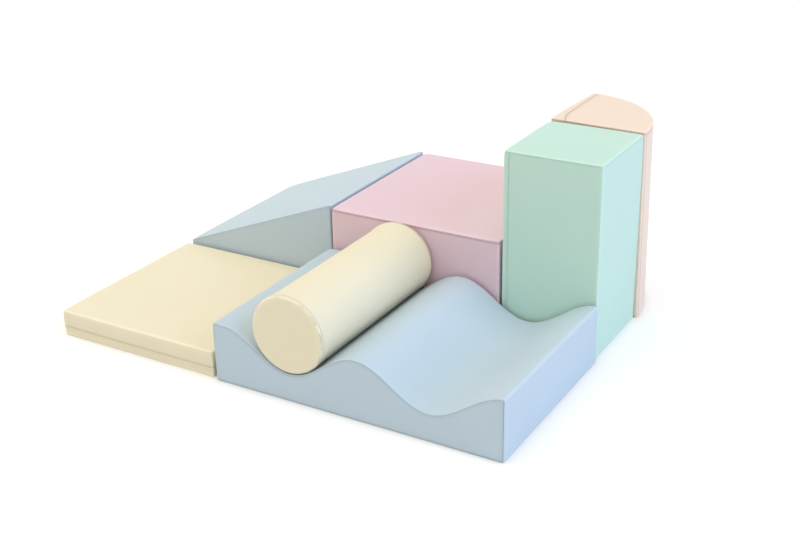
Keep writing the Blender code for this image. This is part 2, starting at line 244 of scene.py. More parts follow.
def raise_prism(ring, rows, radius, close, end_lines=((), ())):
    """A closed body with rounded edges: a ring of inner points, raised through rows."""
    bm = bmesh.new()
    grid = []
    for level, tilt in rows:
        reach = radius * math.cos(tilt)
        height = level + radius * math.sin(tilt)
        grid.append([
            bm.verts.new((place.x + reach * outward.x, place.y + reach * outward.y, height))
            for place, outward in ring])
    count = len(ring)
    for lower, upper in zip(grid, grid[1:]):
        for first in range(count):
            second = (first + 1) % count
            bm.faces.new((lower[first], lower[second], upper[second], upper[first]))
    bmesh.ops.remove_doubles(bm, verts=grid[0] + grid[-1], dist=merge_distance)
    for end, facing in ((0, -1), (-1, 1)):
        rim = [vert for vert in grid[end] if vert.is_valid]
        fill_end(bm, rim, rows[end][0] + facing * radius, facing, close, end_lines[end])
    return bm


def lie_along_depth(bm, depth):
    """Lays a body raised along Z on its side, with its far end to the front."""
    lying = Matrix.Translation((0, depth, 0)) @ Matrix.Rotation(math.radians(90), 4, "X")
    bmesh.ops.transform(bm, matrix=lying, verts=bm.verts)


def bump(share):
    """0 at both edges of a face and 1 in its middle."""
    share = min(max(share, 0), 1)
    return 4 * share * (1 - share)


class Form:
    """One module's form: an outline with rounded corners raised to a length, and its place."""

    def __init__(self, name, outline, length, radius, place, size, **more):
        self.name = name
        self.outline = outline
        self.length = length
        self.radius = radius
        self.place = place
        self.width, self.depth, self.height = size
        self.setback = panel_setback
        self.lying = self.rolls = False
        self.crown = self.lean = None
        self.corners = []
        vars(self).update(more)

    def row_at(self, distance, far=False):
        """The stop from end to end of the row that lies at a distance from one end."""
        stop = meridian(distance, self.radius)
        return self.radius * (math.pi - 2) + self.length - stop if far else stop

    def along(self, piece, stop):
        """The stop on the whole outline that is a stop on one of its pieces."""
        return sum(length for length, _ in self.outline[:piece]) + stop

    def raised(self, drawn_in, close, ring_marks=(), row_marks=(), end_lines=((), ())):
        """The form drawn in all round, in its own frame: X along, Y in depth, Z up."""
        ring = ring_of(self.outline, self.radius, close, ring_marks)
        rows = rows_of(self.length, self.radius, open_spacing, row_marks)
        bm = raise_prism(ring, rows, self.radius - drawn_in, close, end_lines)
        if self.lying:
            lie_along_depth(bm, self.length)
        bm.normal_update()
        return bm


def block_crown(width, depth, height_at):
    """How far taut leatherette stands off a flat block: not at all at the edges."""

    def crown(place, outward):
        u, v, w = place.x / width, place.y / depth, place.z / height_at(place.x)
        side = abs(outward.x) * bump(v) * bump(w) + abs(outward.y) * bump(u) * bump(w)
        return side_swell * side + top_swell * max(outward.z, 0) * bump(u) * bump(v)

    return crown


def footprint(name, setback):
    """A module's width, depth and place, measured from its base panel."""
    low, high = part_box(name + "_base_panel")
    place = Matrix.Translation((low.x - setback, low.y - setback, 0))
    return high.x - low.x + 2 * setback, high.y - low.y + 2 * setback, place


def standing_block(name, height, radius):
    """A square-cornered module, as high as its top seam tells."""
    width, depth, place = footprint(name, panel_setback)
    outline = box_outline([(0, 0), (width, 0), (width, depth), (0, depth)], radius)
    return Form(
        name, outline, height, radius, place, (width, depth, height),
        crown=block_crown(width, depth, lambda x: height),
        corners=[Vector((x, y, height)) for x in (0, width) for y in (0, depth)])


mat = standing_block("mat", 81 * mm, mat_edge_radius)
mat_flat_crown = mat.crown
mat_undercut = 4 * mm
mat_seam_height = 31 * mm


def mat_crown(place, outward):
    """The lower shell draws in towards the floor, as it is cut smaller than the upper one."""
    below = max(1 - place.z / mat_seam_height, 0)
    return mat_flat_crown(place, outward) - mat_undercut * below * (1 - abs(outward.z))


mat.crown = mat_crown
step = standing_block("step", 307 * mm, block_edge_radius)
column = standing_block("column", 585 * mm, block_edge_radius)

wedge_toe = 89 * mm
wedge_ridge = 314 * mm
wedge_width, wedge_depth, wedge_place = footprint("wedge", panel_setback)
wedge_outline = box_outline(
    [(0, 0), (wedge_width, 0), (wedge_width, wedge_ridge), (0, wedge_toe)], block_edge_radius)
wedge_crown = block_crown(
    wedge_width, wedge_depth,
    lambda x: wedge_toe + (wedge_ridge - wedge_toe) * min(max(x / wedge_width, 0), 1))
wedge = Form(
    "wedge", wedge_outline, wedge_depth, block_edge_radius, wedge_place,
    (wedge_width, wedge_depth, wedge_ridge), lying=True, crown=wedge_crown, corners=[
        Vector((x, y, z)) for x, z in ((0, wedge_toe), (wedge_width, wedge_ridge))
        for y in (0, wedge_depth)])

wave_crest = 179 * mm
wave_trough = 82 * mm
wave_land = 37 * mm
wave_setback = 13.3 * mm
wave_width, wave_depth, wave_place = footprint("wave", wave_setback)
wave_turn = 2 * math.pi / ((wave_width - wave_land) / 2)
wave_swing = (wave_crest - wave_trough) / 2


def wave_height(x):
    """The rolling top's height: a flat land at the left, then two whole waves."""
    if x < wave_land:
        return wave_crest
    return wave_crest - wave_swing + wave_swing * math.cos(wave_turn * (x - wave_land))


def wave_slope(x):
    """How steeply the rolling top rises."""
    return 0.0 if x < wave_land else -wave_swing * wave_turn * math.sin(wave_turn * (x - wave_land))


def wave_top_piece():
    """The rolling top from the right crest to the left land, two whole waves long."""
    first = wave_width - wave_edge_radius
    first -= wave_slope(first) * wave_edge_radius

    def at(stop):
        x = first - stop
        outward = Vector((-wave_slope(x), 1)).normalized()
        return Vector((x, wave_height(x))) - outward * wave_edge_radius, outward

    return first - wave_edge_radius, at


wave_inner_top = wave_crest - wave_edge_radius
wave_top = wave_top_piece()
wave_shoulder = wave_top[1](0)[0]
wave_outline = rounded_corners([
    line_piece((wave_edge_radius, wave_edge_radius), (wave_shoulder.x, wave_edge_radius)),
    line_piece((wave_shoulder.x, wave_edge_radius), wave_shoulder),
    wave_top,
    line_piece((wave_edge_radius, wave_inner_top), (wave_edge_radius, wave_edge_radius)),
], wave_edge_radius)
wave = Form(
    "wave", wave_outline, wave_depth, wave_edge_radius, wave_place,
    (wave_width, wave_depth, wave_crest), lying=True, setback=wave_setback,
    corners=[Vector((x, y, wave_crest)) for x in (0, wave_width) for y in (0, wave_depth)])

quarter_radius = 303 * mm
quarter_height = 590 * mm
quarter_way = Vector(next(
    joint["axis"] for joint in frame["joints"] if joint["name"] == "quarter_zip_slide"))
quarter_turn = Matrix.Rotation(math.atan2(-quarter_way.x, quarter_way.y), 4, "Z")
quarter_nearest = min(
    (vert.co for vert in frame["nodes"]["quarter_base_panel"].data.vertices),
    key=lambda place: place.x + place.y)
quarter_corner = quarter_nearest - quarter_turn @ Vector((panel_setback, panel_setback, 0))


def quarter_outline(inset, radius):
    """The quarter-round's plan drawn in by an inset, with its three corners rounded."""
    near = inset + radius
    reach = quarter_radius - near
    first = math.asin(near / reach)
    end = reach * math.cos(first)
    return rounded_corners([
        line_piece((near, near), (end, near)),
        arc_piece((0, 0), quarter_radius - inset, first, math.pi / 2 - first, radius),
        line_piece((near, end), (near, near)),
    ], radius)


quarter_flare = 8 * mm
quarter = Form(
    "quarter", quarter_outline(0, quarter_edge_radius), quarter_height, quarter_edge_radius,
    Matrix.Translation((quarter_corner.x, quarter_corner.y, 0)) @ quarter_turn,
    (quarter_radius, quarter_radius, quarter_height),
    lean=lambda place: quarter_flare * (1 - place.z / quarter_height) * place.x / quarter_radius,
    corners=[
        Vector((x, y, quarter_height))
        for x, y in ((0, 0), (quarter_radius, 0), (0, quarter_radius))])

roller_low, roller_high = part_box("roller_core")
roller_hinge = next(joint for joint in frame["joints"] if joint["name"] == "roller_roll")
roller_radius = 114.5 * mm
roller_length = 594 * mm
roller_start = (roller_low.y + roller_high.y - roller_length) / 2
roller_waist = 3.5 * mm
waist_flare = 70 * mm
waist_ends = (0.55, 0.90)  # how far down the sleeve faces where the waist fades out


def eased(share):
    """0 up to 0 and 1 from 1 on, with a smooth rise between."""
    share = min(max(share, 0), 1)
    return share * share * (3 - 2 * share)


def roller_crown(place, outward):
    """The sleeve is drawn in between its discs, but lies straight along its zip and on the wave."""
    inside = eased(min(place.y, roller_length - place.y) / waist_flare)
    above = 1 - eased((-outward.z - waist_ends[0]) / (waist_ends[1] - waist_ends[0]))
    return -roller_waist * inside * above * (1 - abs(outward.y))


roller = Form(
    "roller", [arc_piece((0, 0), roller_radius, 0, 2 * math.pi, roller_edge_radius)],
    roller_length, roller_edge_radius,
    Matrix.Translation((roller_hinge["pos_m"][0], roller_start, roller_hinge["pos_m"][2])),
    (2 * roller_radius, roller_length, 2 * roller_radius),
    lying=True, crown=roller_crown, rolls=True)

forms = (mat, wave, wedge, step, column, quarter, roller)


def show(name, data):
    """Puts a mesh, curve, lamp or camera in the scene."""
    shown = bpy.data.objects.new(name, data)
    bpy.context.scene.collection.objects.link(shown)
    return shown


def put_down(bm, name, form, body, material):
    """Makes a piece of a body drawn in a form's own frame, and lets it ride."""
    if form.lean:
        for vert in bm.verts:
            vert.co.x += form.lean(vert.co)
    bmesh.ops.transform(bm, matrix=form.place, verts=bm.verts)
    mesh = bpy.data.meshes.new(name)
    bm.to_mesh(mesh)
    bm.free()
    mesh.shade_smooth()
    mesh.materials.append(material)
    piece = show(name, mesh)
    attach(piece, body)
    return piece


def socket(group, name, kind, way, value=None):
    """A named input or output on a shader node group."""
    made = group.interface.new_socket(name=name, in_out=way, socket_type=kind)
    if value is not None:
        made.default_value = value
    return made


def new_node(tree, kind, **inputs):
    """A node with its plain input values set by name, underscores standing for spaces."""
    node = tree.nodes.new(kind)
    for name, value in inputs.items():
        node.inputs[name.replace("_", " ")].default_value = value
    return node


def times_plus(tree, value, times, plus):
    """A value times one plain number plus another."""
    return arithmetic(tree, "ADD", arithmetic(tree, "MULTIPLY", value, times), plus)


def on_object(tree, kind, **inputs):
    """A texture node that reads the object's own coordinates."""
    node = new_node(tree, kind, **inputs)
    where = tree.nodes.new("ShaderNodeTexCoord")
    tree.links.new(where.outputs["Object"], node.inputs["Vector"])
    return node


def arithmetic(tree, operation, first, second):
    """A Math node; each operand is a socket or a plain number."""
    node = tree.nodes.new("ShaderNodeMath")
    node.operation = operation
    for place, operand in zip(node.inputs, (first, second)):
        if isinstance(operand, (int, float)):
            place.default_value = operand
        else:
            tree.links.new(operand, place)
    return node.outputs["Value"]


def scaled(tree, colour, factor):
    """A colour made lighter or darker by a factor."""
    node = tree.nodes.new("ShaderNodeVectorMath")
    node.operation = "SCALE"
    tree.links.new(colour, node.inputs[0])
    tree.links.new(factor, node.inputs["Scale"])
    return node.outputs["Vector"]


def smooth_range(tree, value, **limits):
    """A smooth change from To Min to To Max as a value goes from From Min to From Max."""
    node = new_node(tree, "ShaderNodeMapRange", **limits)
    node.interpolation_type = "SMOOTHSTEP"
    tree.links.new(value, node.inputs["Value"])
    return node.outputs["Result"]


def mixed(tree, factor, first, second):
    """A colour between two plain ones."""
    node = tree.nodes.new("ShaderNodeMix")
    node.data_type = "RGBA"
    node.inputs["A"].default_value = (*first, 1)
    node.inputs["B"].default_value = (*second, 1)
    tree.links.new(factor, node.inputs["Factor"])
    return node.outputs["Result"]


def new_material(name, roughness):
    material = bpy.data.materials.new(name)
    material.use_nodes = True
    tree = material.node_tree
    shader = tree.nodes["Principled BSDF"]
    shader.inputs["Roughness"].default_value = roughness
    return material, tree, shader


def add_relief(tree, shader, height, distance, strength):
    """Feeds a height into the shader's normal through a Bump node."""
    relief = new_node(tree, "ShaderNodeBump", Distance=distance, Strength=strength)
    tree.links.new(height, relief.inputs["Height"])
    tree.links.new(relief.outputs["Normal"], shader.inputs["Normal"])


def mottling_group():
    """Group: a colour that drifts a little lighter and darker over the surface, at a given size."""
    group = bpy.data.node_groups.new("drifting colour", "ShaderNodeTree")
    socket(group, "Colour", "NodeSocketColor", "INPUT")
    socket(group, "Amount", "NodeSocketFloat", "INPUT", 0.02)
    socket(group, "Scale", "NodeSocketFloat", "INPUT", 6.0)
    socket(group, "Colour", "NodeSocketColor", "OUTPUT")
    socket(group, "Mask", "NodeSocketFloat", "OUTPUT")
    start = group.nodes.new("NodeGroupInput")
    end = group.nodes.new("NodeGroupOutput")
    cloud = on_object(group, "ShaderNodeTexNoise", Detail=3.0)
    group.links.new(start.outputs["Scale"], cloud.inputs["Scale"])
    centred = arithmetic(group, "SUBTRACT", cloud.outputs["Fac"], 0.5)
    swing = arithmetic(group, "MULTIPLY", centred, start.outputs["Amount"])
    share = times_plus(group, swing, 2.0, 1.0)
    group.links.new(scaled(group, start.outputs["Colour"], share), end.inputs["Colour"])
    group.links.new(cloud.outputs["Fac"], end.inputs["Mask"])
    return group


drifting_colour = mottling_group()


def add_drift(tree, amount, scale, colour=(1, 1, 1)):
    """Places the drifting colour, with a plain colour or one that is linked to it."""
    drift = tree.nodes.new("ShaderNodeGroup")
    drift.node_tree = drifting_colour
    drift.inputs["Colour"].default_value = (*colour, 1)
    drift.inputs["Amount"].default_value = amount
    drift.inputs["Scale"].default_value = scale
    return drift


def foam_material():
    """Open-cell foam: matt, with small round cells that show as pits."""
    material, tree, shader = new_material("cream foam", 0.95)
    drift = add_drift(tree, 0.06, 60.0, (0.84, 0.76, 0.54))
    tree.links.new(drift.outputs["Colour"], shader.inputs["Base Color"])
    cells = on_object(tree, "ShaderNodeTexVoronoi", Scale=900.0)
    add_relief(tree, shader, cells.outputs["Distance"], 0.0006, 0.7)
    return material


foam_finish = foam_material()
for form in forms:
    block = form.raised(foam_depth, foam_spacing)
    if form.crown:
        for vert in block.verts:
            vert.co += vert.normal * form.crown(vert.co, vert.normal)
    piece = put_down(block, form.name + "_foam", form, form.name, foam_finish)
    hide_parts(form.name + "_core")


# Sewn covers. Each is cut from knitted-back leatherette, sewn inside out and turned, so the edges
# of its panels roll inwards at every seam, and the stitches pull small puckers into the cloth.
cloth_thickness = 1.1 * mm
seam_half_gap = 0.15 * mm
roll_radius = 1.6 * mm
turned_in = 2.5 * mm
seam_flanks = (0.4 * mm, 0.9 * mm, 1.6 * mm, 3.4 * mm, 7 * mm)
rim_flanks = (0.6 * mm, 1.6 * mm)
opening_radius = 4 * mm
fold_sides = (0, -roll_radius, roll_radius)
seam_reach = 60 * mm
corner_softness = 2.6
corner_reach = 14 * mm
slack_waves = ((0.45, 6.5), (0.16, 21))
slack_reach = 30 * mm
pull_waves = ((1.0, 46), (0.6, 95))
pull_reach = 15 * mm
pull_start = 2 * mm
seam_dip = 0.5
dip_reach = 6 * mm
shade_reach = 2.2 * mm
highlight_reach = 4 * mm
underside = 0.1 * mm
side_seam_inset = 0.7 * mm
zip_half_width = 7 * mm
zip_end_margin = 50 * mm
zip_height = 38 * mm


def flanked(*seams, flanks=seam_flanks):
    """The stops of seams and of the steps beside them in which the cloth rolls in."""
    steps = [0.0] + [side * flank for flank in flanks for side in (-1, 1)]
    return [seam + step for seam in seams for step in steps]


def rims(*stops):
    """The stops of the rims of a slot or an opening, where the cloth is only turned in."""
    return flanked(*stops, flanks=rim_flanks)


def both_ends(form, inset):
    """The rows that lie at a distance from each end of a form."""
    return form.row_at(inset), form.row_at(inset, far=True)


def closed_line(outline, radius):
    """The points of a closed outline with rounded corners, as a line to sew or cut along."""
    ring = ring_of(outline, radius, close_spacing)
    return True, [place + outward * radius for place, outward in ring]


def block_opening(form):
    """The cut-out in a standing block's underside that the base panel is sewn into."""
    lines = []
    for step in fold_sides:
        near = panel_setback + step
        right, back = form.width - near, form.depth - near
        corners = [(near, near), (right, near), (right, back), (near, back)]
        lines.append(closed_line(box_outline(corners, opening_radius), opening_radius))
    return lines


def spread_line(corners, spacing):
    """Points along a bent line, no further apart than spacing."""
    places = []
    for start, end in zip(corners, corners[1:]):
        start, end = Vector(start), Vector(end)
        count = max(1, math.ceil((end - start).length / spacing))
        places += [start + (end - start) * step / count for step in range(count)]
    return places + [Vector(corners[-1])]


def distances_from(bm, sources, reach):
    """How far each vertex is from the nearest source along the surface, and which that is."""
    away = np.full(len(bm.verts), math.inf)
    nearest = np.full(len(bm.verts), -1)
    queue = []
    for vert in sources:
        away[vert.index] = 0
        nearest[vert.index] = vert.index
        queue.append((0.0, vert.index))
    heapq.heapify(queue)
    while queue:
        distance, number = heapq.heappop(queue)
        if distance > away[number] or distance > reach:
            continue
        vert = bm.verts[number]
        for edge in vert.link_edges:
            other = edge.other_vert(vert)
            further = distance + (other.co - vert.co).length
            if further < away[other.index]:
                away[other.index] = further
                nearest[other.index] = nearest[number]
                heapq.heappush(queue, (further, other.index))
    return away, nearest


class Cover:
    """How one cover is sewn: its panel plan, marks, closing seam and depth of fold."""

    def __init__(self, form, panel_at, ring_marks=(), row_marks=(), end_lines=((), ()), **more):
        self.form = form
        self.panel_at = panel_at
        self.ring_marks = ring_marks
        self.row_marks = row_marks
        self.end_lines = end_lines
        self.closing = None
        self.roll = roll_radius
        self.ripple = 1.0
        vars(self).update(more)


def draw_cloth(cover):
    """The cover's outside as one skin: seams rolled in, puckers beside them, slack between."""
    form = cover.form
    bm = form.raised(0.0, close_spacing, cover.ring_marks, cover.row_marks, cover.end_lines)
    bm.verts.index_update()
    bm.verts.ensure_lookup_table()
    plan = {face: cover.panel_at(face.calc_center_median()) for face in bm.faces}
    seams = {
        edge for edge in bm.edges
        if plan[edge.link_faces[0]] != plan[edge.link_faces[1]]
        or (cover.closing and cover.closing((edge.verts[0].co + edge.verts[1].co) / 2, edge))}
    sewn = {vert for edge in seams for vert in edge.verts}
    away, nearest = distances_from(bm, sewn, seam_reach)
    places = [vert.co.copy() for vert in bm.verts]
    normals = [vert.normal.copy() for vert in bm.verts]
    shift = Vector((cover.seed * 3.7, cover.seed * 1.3, 0))
    pull = np.zeros(len(places))
    for number, place in enumerate(places):
        if nearest[number] >= 0:
            stitch = places[nearest[number]] + shift
            pull[number] = sum(deep * noise.noise(stitch * often) for deep, often in pull_waves)
    for _ in range(2):
        pull = np.array([
            0.5 * pull[vert.index]
            + 0.5 * sum(pull[edge.other_vert(vert).index] for edge in vert.link_edges)
            / len(vert.link_edges) for vert in bm.verts])
    seam_shade = bm.verts.layers.float.new("seam")
    highlight_layer = bm.verts.layers.float.new("edge_highlight")
    for vert in bm.verts:
        number = vert.index
        # Painted highlight: how sharply the surface bends here, up to 1, which lightens rounded
        # edges in the colour.
        vert[highlight_layer] = min(1, max(
            (normals[number].angle(normals[edge.other_vert(vert).index], 0)
             / max((places[number] - places[edge.other_vert(vert).index]).length, merge_distance)
             for edge in vert.link_edges)) * highlight_reach)
        place, outward, distance = places[number], normals[number], away[number]
        down = max(-outward.z, 0) if not form.rolls else 0
        free = 1 - down ** 2
        slack = sum(
            deep * (0.5 + noise.noise((place + shift) * often)) for deep, often in slack_waves)
        drawn = slack * min(distance / slack_reach, 1) * cover.ripple
        drawn += seam_dip * math.exp(-distance / dip_reach)
        corner = min(((place - corner).length for corner in form.corners), default=math.inf)
        drawn += corner_softness * math.exp(-corner / corner_reach)
        puckers = (0.55 + pull[number]) * 0.5 * cover.ripple
        drawn += max(puckers, 0) * math.exp(-distance / pull_reach) * min(distance / pull_start, 1)
        out = form.crown(place, outward) if form.crown else 0.0
        depth = drawn * free * mm
        if distance < cover.roll:
            depth += cover.roll - math.sqrt(cover.roll ** 2 - (cover.roll - distance) ** 2)
        vert.co = place + outward * (out - depth)
        # Painted shade: the colour darkens towards each seam, where the cloth rolls into the
        # crease.
        vert[seam_shade] = math.exp(-distance / shade_reach)
    return bm, plan, seams, normals


def cut_panel(bm, plan, seams, normals, name):
    """Takes one panel out of the skin, parts it from its neighbours and turns its edges in."""
    panel = bmesh.new()
    for shade in ("seam", "edge_highlight"):
        panel.verts.layers.float.new(shade)
    panel.verts.layers.float_vector.new("outward")
    outward = panel.verts.layers.float_vector["outward"]
    shades = [
        (panel.verts.layers.float[shade], bm.verts.layers.float[shade])
        for shade in ("seam", "edge_highlight")]
    copies = {}
    faces = [face for face in bm.faces if plan[face] == name]
    for face in faces:
        corners = []
        for vert in face.verts:
            if vert not in copies:
                copies[vert] = panel.verts.new(vert.co)
                for own, skin in shades:
                    copies[vert][own] = vert[skin]
            corners.append(copies[vert])
        panel.faces.new(corners)
    for vert, copied in copies.items():
        copied[outward] = normals[vert.index]
    inner_seams = [
        panel.edges.get([copies[vert] for vert in edge.verts]) for edge in seams
        if all(vert in copies for vert in edge.verts)
        and all(plan[face] == name for face in edge.link_faces)]
    inner_seams = [edge for edge in inner_seams if edge]
    if inner_seams:
        bmesh.ops.split_edges(panel, edges=inner_seams)
    panel.normal_update()
    rims = [edge for edge in panel.edges if edge.is_boundary]
    inward = {}
    for edge in rims:
        loop = edge.link_loops[0]
        along = (loop.link_loop_next.vert.co - loop.vert.co).normalized()
        into = edge.link_faces[0].normal.cross(along)
        for vert in edge.verts:
            inward[vert] = inward.get(vert, Vector()) + into
    for vert, into in inward.items():
        if into.length > 0:
            vert.co += into.normalized() * seam_half_gap
    turned = {}
    for vert in inward:
        turned[vert] = panel.verts.new(vert.co - vert[outward] * turned_in)
        # The turned-in edges take the full painted seam shade.
        turned[vert][shades[0][0]] = 1.0
    for edge in rims:
        loop = edge.link_loops[0]
        first, second = loop.vert, loop.link_loop_next.vert
        panel.faces.new((second, first, turned[first], turned[second]))
    panel.verts.layers.float_vector.remove(panel.verts.layers.float_vector["outward"])
    return panel


def sew(cover, finishes):
    """Makes every panel of a cover, as cloth with its thickness on the inside."""
    bm, plan, seams, normals = draw_cloth(cover)
    made = {}
    for name in sorted({name for name in plan.values() if name}):
        panel = cut_panel(bm, plan, seams, normals, name)
        form = cover.form
        finish = finishes.get(name, finishes["cover"])
        piece = put_down(panel, form.name + "_" + name, form, form.name, finish)
        thicken = piece.modifiers.new("cloth", "SOLIDIFY")
        thicken.thickness = cloth_thickness
        thicken.offset = -1
        thicken.use_quality_normals = True
        made[name] = piece
    bm.free()
    return made


def leatherette_group():
    """Group: pebbled leatherette, darker by Crease where Seam is 1 as painted seam shade, and
    lighter and glossier where Highlight is 1 as a painted highlight on rounded edges.
    """
    group = bpy.data.node_groups.new("leatherette grain", "ShaderNodeTree")
    socket(group, "Colour", "NodeSocketColor", "INPUT")
    socket(group, "Seam", "NodeSocketFloat", "INPUT", 0.0)
    socket(group, "Crease", "NodeSocketFloat", "INPUT", 0.16)
    socket(group, "Highlight", "NodeSocketFloat", "INPUT", 0.0)
    socket(group, "Grain", "NodeSocketFloat", "INPUT", 850.0)
    socket(group, "Colour", "NodeSocketColor", "OUTPUT")
    socket(group, "Roughness", "NodeSocketFloat", "OUTPUT")
    socket(group, "Height", "NodeSocketFloat", "OUTPUT")
    start = group.nodes.new("NodeGroupInput")
    end = group.nodes.new("NodeGroupOutput")
    where = group.nodes.new("ShaderNodeTexCoord")
    drift = add_drift(group, 0.022, 7.0)
    group.links.new(start.outputs["Colour"], drift.inputs["Colour"])
    bend = on_object(group, "ShaderNodeTexNoise", Scale=420.0, Detail=2.0)
    shifted = group.nodes.new("ShaderNodeVectorMath")
    shifted.operation = "MULTIPLY_ADD"
    shifted.inputs[1].default_value = (0.0009, 0.0009, 0.0009)
    group.links.new(bend.outputs["Color"], shifted.inputs[0])
    group.links.new(where.outputs["Object"], shifted.inputs[2])
    pebbles = group.nodes.new("ShaderNodeTexVoronoi")
    pebbles.feature = "DISTANCE_TO_EDGE"
    group.links.new(shifted.outputs["Vector"], pebbles.inputs["Vector"])
    group.links.new(start.outputs["Grain"], pebbles.inputs["Scale"])
    crests = smooth_range(group, pebbles.outputs["Distance"], From_Max=0.32)
    pores = on_object(group, "ShaderNodeTexNoise", Scale=2600.0, Detail=2.0)
    height = arithmetic(
        group, "ADD", crests, arithmetic(group, "MULTIPLY", pores.outputs["Fac"], 0.35))
    group.links.new(height, end.inputs["Height"])
    # Painted shade in the seam creases: darker by Crease where Seam is 1.
    creased = arithmetic(group, "MULTIPLY", start.outputs["Seam"], start.outputs["Crease"])
    # Painted shade in the pebble grain's hollows.
    hollow = arithmetic(
        group, "MULTIPLY", arithmetic(group, "SUBTRACT", 1.0, crests), 0.035)
    shade = arithmetic(group, "SUBTRACT", 1.0, arithmetic(group, "ADD", creased, hollow))
    # Painted highlight on rounded edges: lighter colour and lower roughness where Highlight is 1.
    highlight_amount = arithmetic(group, "MULTIPLY", start.outputs["Highlight"], 0.08)
    shade = arithmetic(group, "ADD", shade, highlight_amount)
    group.links.new(scaled(group, drift.outputs["Colour"], shade), end.inputs["Colour"])
    gloss = times_plus(group, drift.outputs["Mask"], 0.14, 0.40)
    gloss = arithmetic(
        group, "ADD", gloss, arithmetic(group, "MULTIPLY", start.outputs["Seam"], 0.08))
    gloss = arithmetic(group, "SUBTRACT", gloss, highlight_amount)
    group.links.new(gloss, end.inputs["Roughness"])
    return group


leatherette_grain = leatherette_group()


def leatherette(name, colour, crease):
    material, tree, shader = new_material(name, 0.46)
    grain = tree.nodes.new("ShaderNodeGroup")
    grain.node_tree = leatherette_grain
    grain.inputs["Colour"].default_value = (*colour, 1)
    grain.inputs["Crease"].default_value = crease
    # The seam attribute drives the painted seam shade, the other one the painted highlight on
    # rounded edges.
    for name, into in (("seam", "Seam"), ("edge_highlight", "Highlight")):
        drawn = tree.nodes.new("ShaderNodeAttribute")
        drawn.attribute_name = name
        tree.links.new(drawn.outputs["Fac"], grain.inputs[into])
    tree.links.new(grain.outputs["Colour"], shader.inputs["Base Color"])
    tree.links.new(grain.outputs["Roughness"], shader.inputs["Roughness"])
    add_relief(tree, shader, grain.outputs["Height"], 0.0003, 0.35)
    return material


def non_slip():
    """Black knitted fabric with rows of rubber dots."""
    material, tree, shader = new_material("non-slip fabric", 0.8)
    dots = on_object(tree, "ShaderNodeTexVoronoi", Scale=230.0, Randomness=0.0)
    dot = smooth_range(tree, dots.outputs["Distance"], From_Min=0.38, From_Max=0.26)
    knit = on_object(tree, "ShaderNodeTexWave", Scale=700.0, Distortion=1.5, Detail=2.0)
    cloth = mixed(tree, dot, (0.055, 0.055, 0.058), (0.018, 0.018, 0.020))
    tree.links.new(cloth, shader.inputs["Base Color"])
    height = arithmetic(
        tree, "ADD", dot, arithmetic(tree, "MULTIPLY", knit.outputs["Fac"], 0.2))
    add_relief(tree, shader, height, 0.0008, 0.8)
    return material


# The third number of each colour is the depth of its painted seam shade.
leatherettes = {
    name: leatherette(name + " leatherette", colour, crease) for name, colour, crease in (
        ("cream", (0.88, 0.785, 0.57), 0.28), ("blue", (0.54, 0.65, 0.73), 0.38),
        ("pink", (0.82, 0.60, 0.67), 0.36), ("green", (0.565, 0.785, 0.68), 0.12),
        ("peach", (0.895, 0.715, 0.585), 0.30))}
grip = non_slip()


def dress(form, panels, shade):
    """Sews a cover and lets its panels stand for the nodes of the same place."""
    form.shade = shade
    made = sew(form.cover, {"cover": leatherettes[shade], "base": grip})
    for name, piece in made.items():
        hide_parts(form.name + "_" + panels[name])


# Mat. Two shells of cream leatherette, sewn together round the sides well below the middle.
# The zip lies in that seam, on the mat's left side.


def on_base(form, place):
    """Whether a spot lies on the base panel in a form's underside."""
    return (place.z < underside and form.setback < place.x < form.width - form.setback
            and form.setback < place.y < form.depth - form.setback)


def in_slot(run, whole, deep, rise):
    """Whether a spot lies in a zip's slot: its run along the side, its depth and its rise."""
    return (zip_end_margin < run < whole - zip_end_margin and deep < mm
            and abs(rise) < zip_half_width)


def left_slot(form, place, height=zip_height):
    """Whether a spot lies in the zip slot in a form's left side."""
    return in_slot(place.y, form.depth, place.x, place.z - height)


def back_slot(form, place):
    """Whether a spot lies in the zip slot in a form's back."""
    return in_slot(place.x, form.width, form.depth - place.y, place.z - zip_height)


def mat_plan(place):
    if on_base(mat, place):
        return "base"
    if left_slot(mat, place, mat_seam_height):
        return None
    return "top" if place.z > mat_seam_height else "bottom"


def slot_stops(form, piece, length):
    """The stops of a zip slot's two ends on a side of a standing block."""
    return rims(
        form.along(piece, zip_end_margin - form.radius),
        form.along(piece, length - zip_end_margin - form.radius))


def slot_rows(form, height):
    """The rows of a zip slot's lower and upper rim."""
    return rims(form.row_at(height - zip_half_width), form.row_at(height + zip_half_width))


mat.cover = Cover(
    mat, mat_plan, slot_stops(mat, 6, mat.depth),
    flanked(mat.row_at(mat_seam_height)) + slot_rows(mat, mat_seam_height),
    (block_opening(mat), ()), roll=1.1 * mm, seed=1)
dress(mat, {"top": "upper_cover", "bottom": "lower_cover", "base": "base_panel"}, "cream")

# Wave. A front and a back panel cut to the rolling profile, and one long strip that goes over the
# top and down both ends. Zip in the left end.


def lying_stops(form):
    """Where the base panel's sides lie along a lying form's underside."""
    first = form.setback - form.radius
    return rims(
        form.along(0, first), form.along(0, form.width - form.radius - (first + form.radius)))


def lying_rows(form):
    """The rows of a lying form's front and back seams and of its base panel's ends."""
    return flanked(*both_ends(form, side_seam_inset)) + rims(*both_ends(form, form.setback))


def lying_plan(form, slot):
    """Front, back and wrap panels of a lying form, with the base panel sewn into the wrap."""

    def plan(place):
        if slot(form, place):
            return None
        if on_base(form, place):
            return "base"
        if place.y < side_seam_inset:
            return "front"
        return "back" if place.y > form.depth - side_seam_inset else "wrap"

    return plan


wave_slot = rims(
    wave.along(6, wave_inner_top - zip_height - zip_half_width),
    wave.along(6, wave_inner_top - zip_height + zip_half_width))
wave.cover = Cover(
    wave, lying_plan(wave, left_slot), lying_stops(wave) + wave_slot,
    lying_rows(wave) + rims(*both_ends(wave, zip_end_margin)), roll=1.2 * mm, seed=2)
lying_panels = {"front": "front_panel", "back": "back_panel", "wrap": "wrap_panel",
                "base": "base_panel"}
dress(wave, lying_panels, "blue")

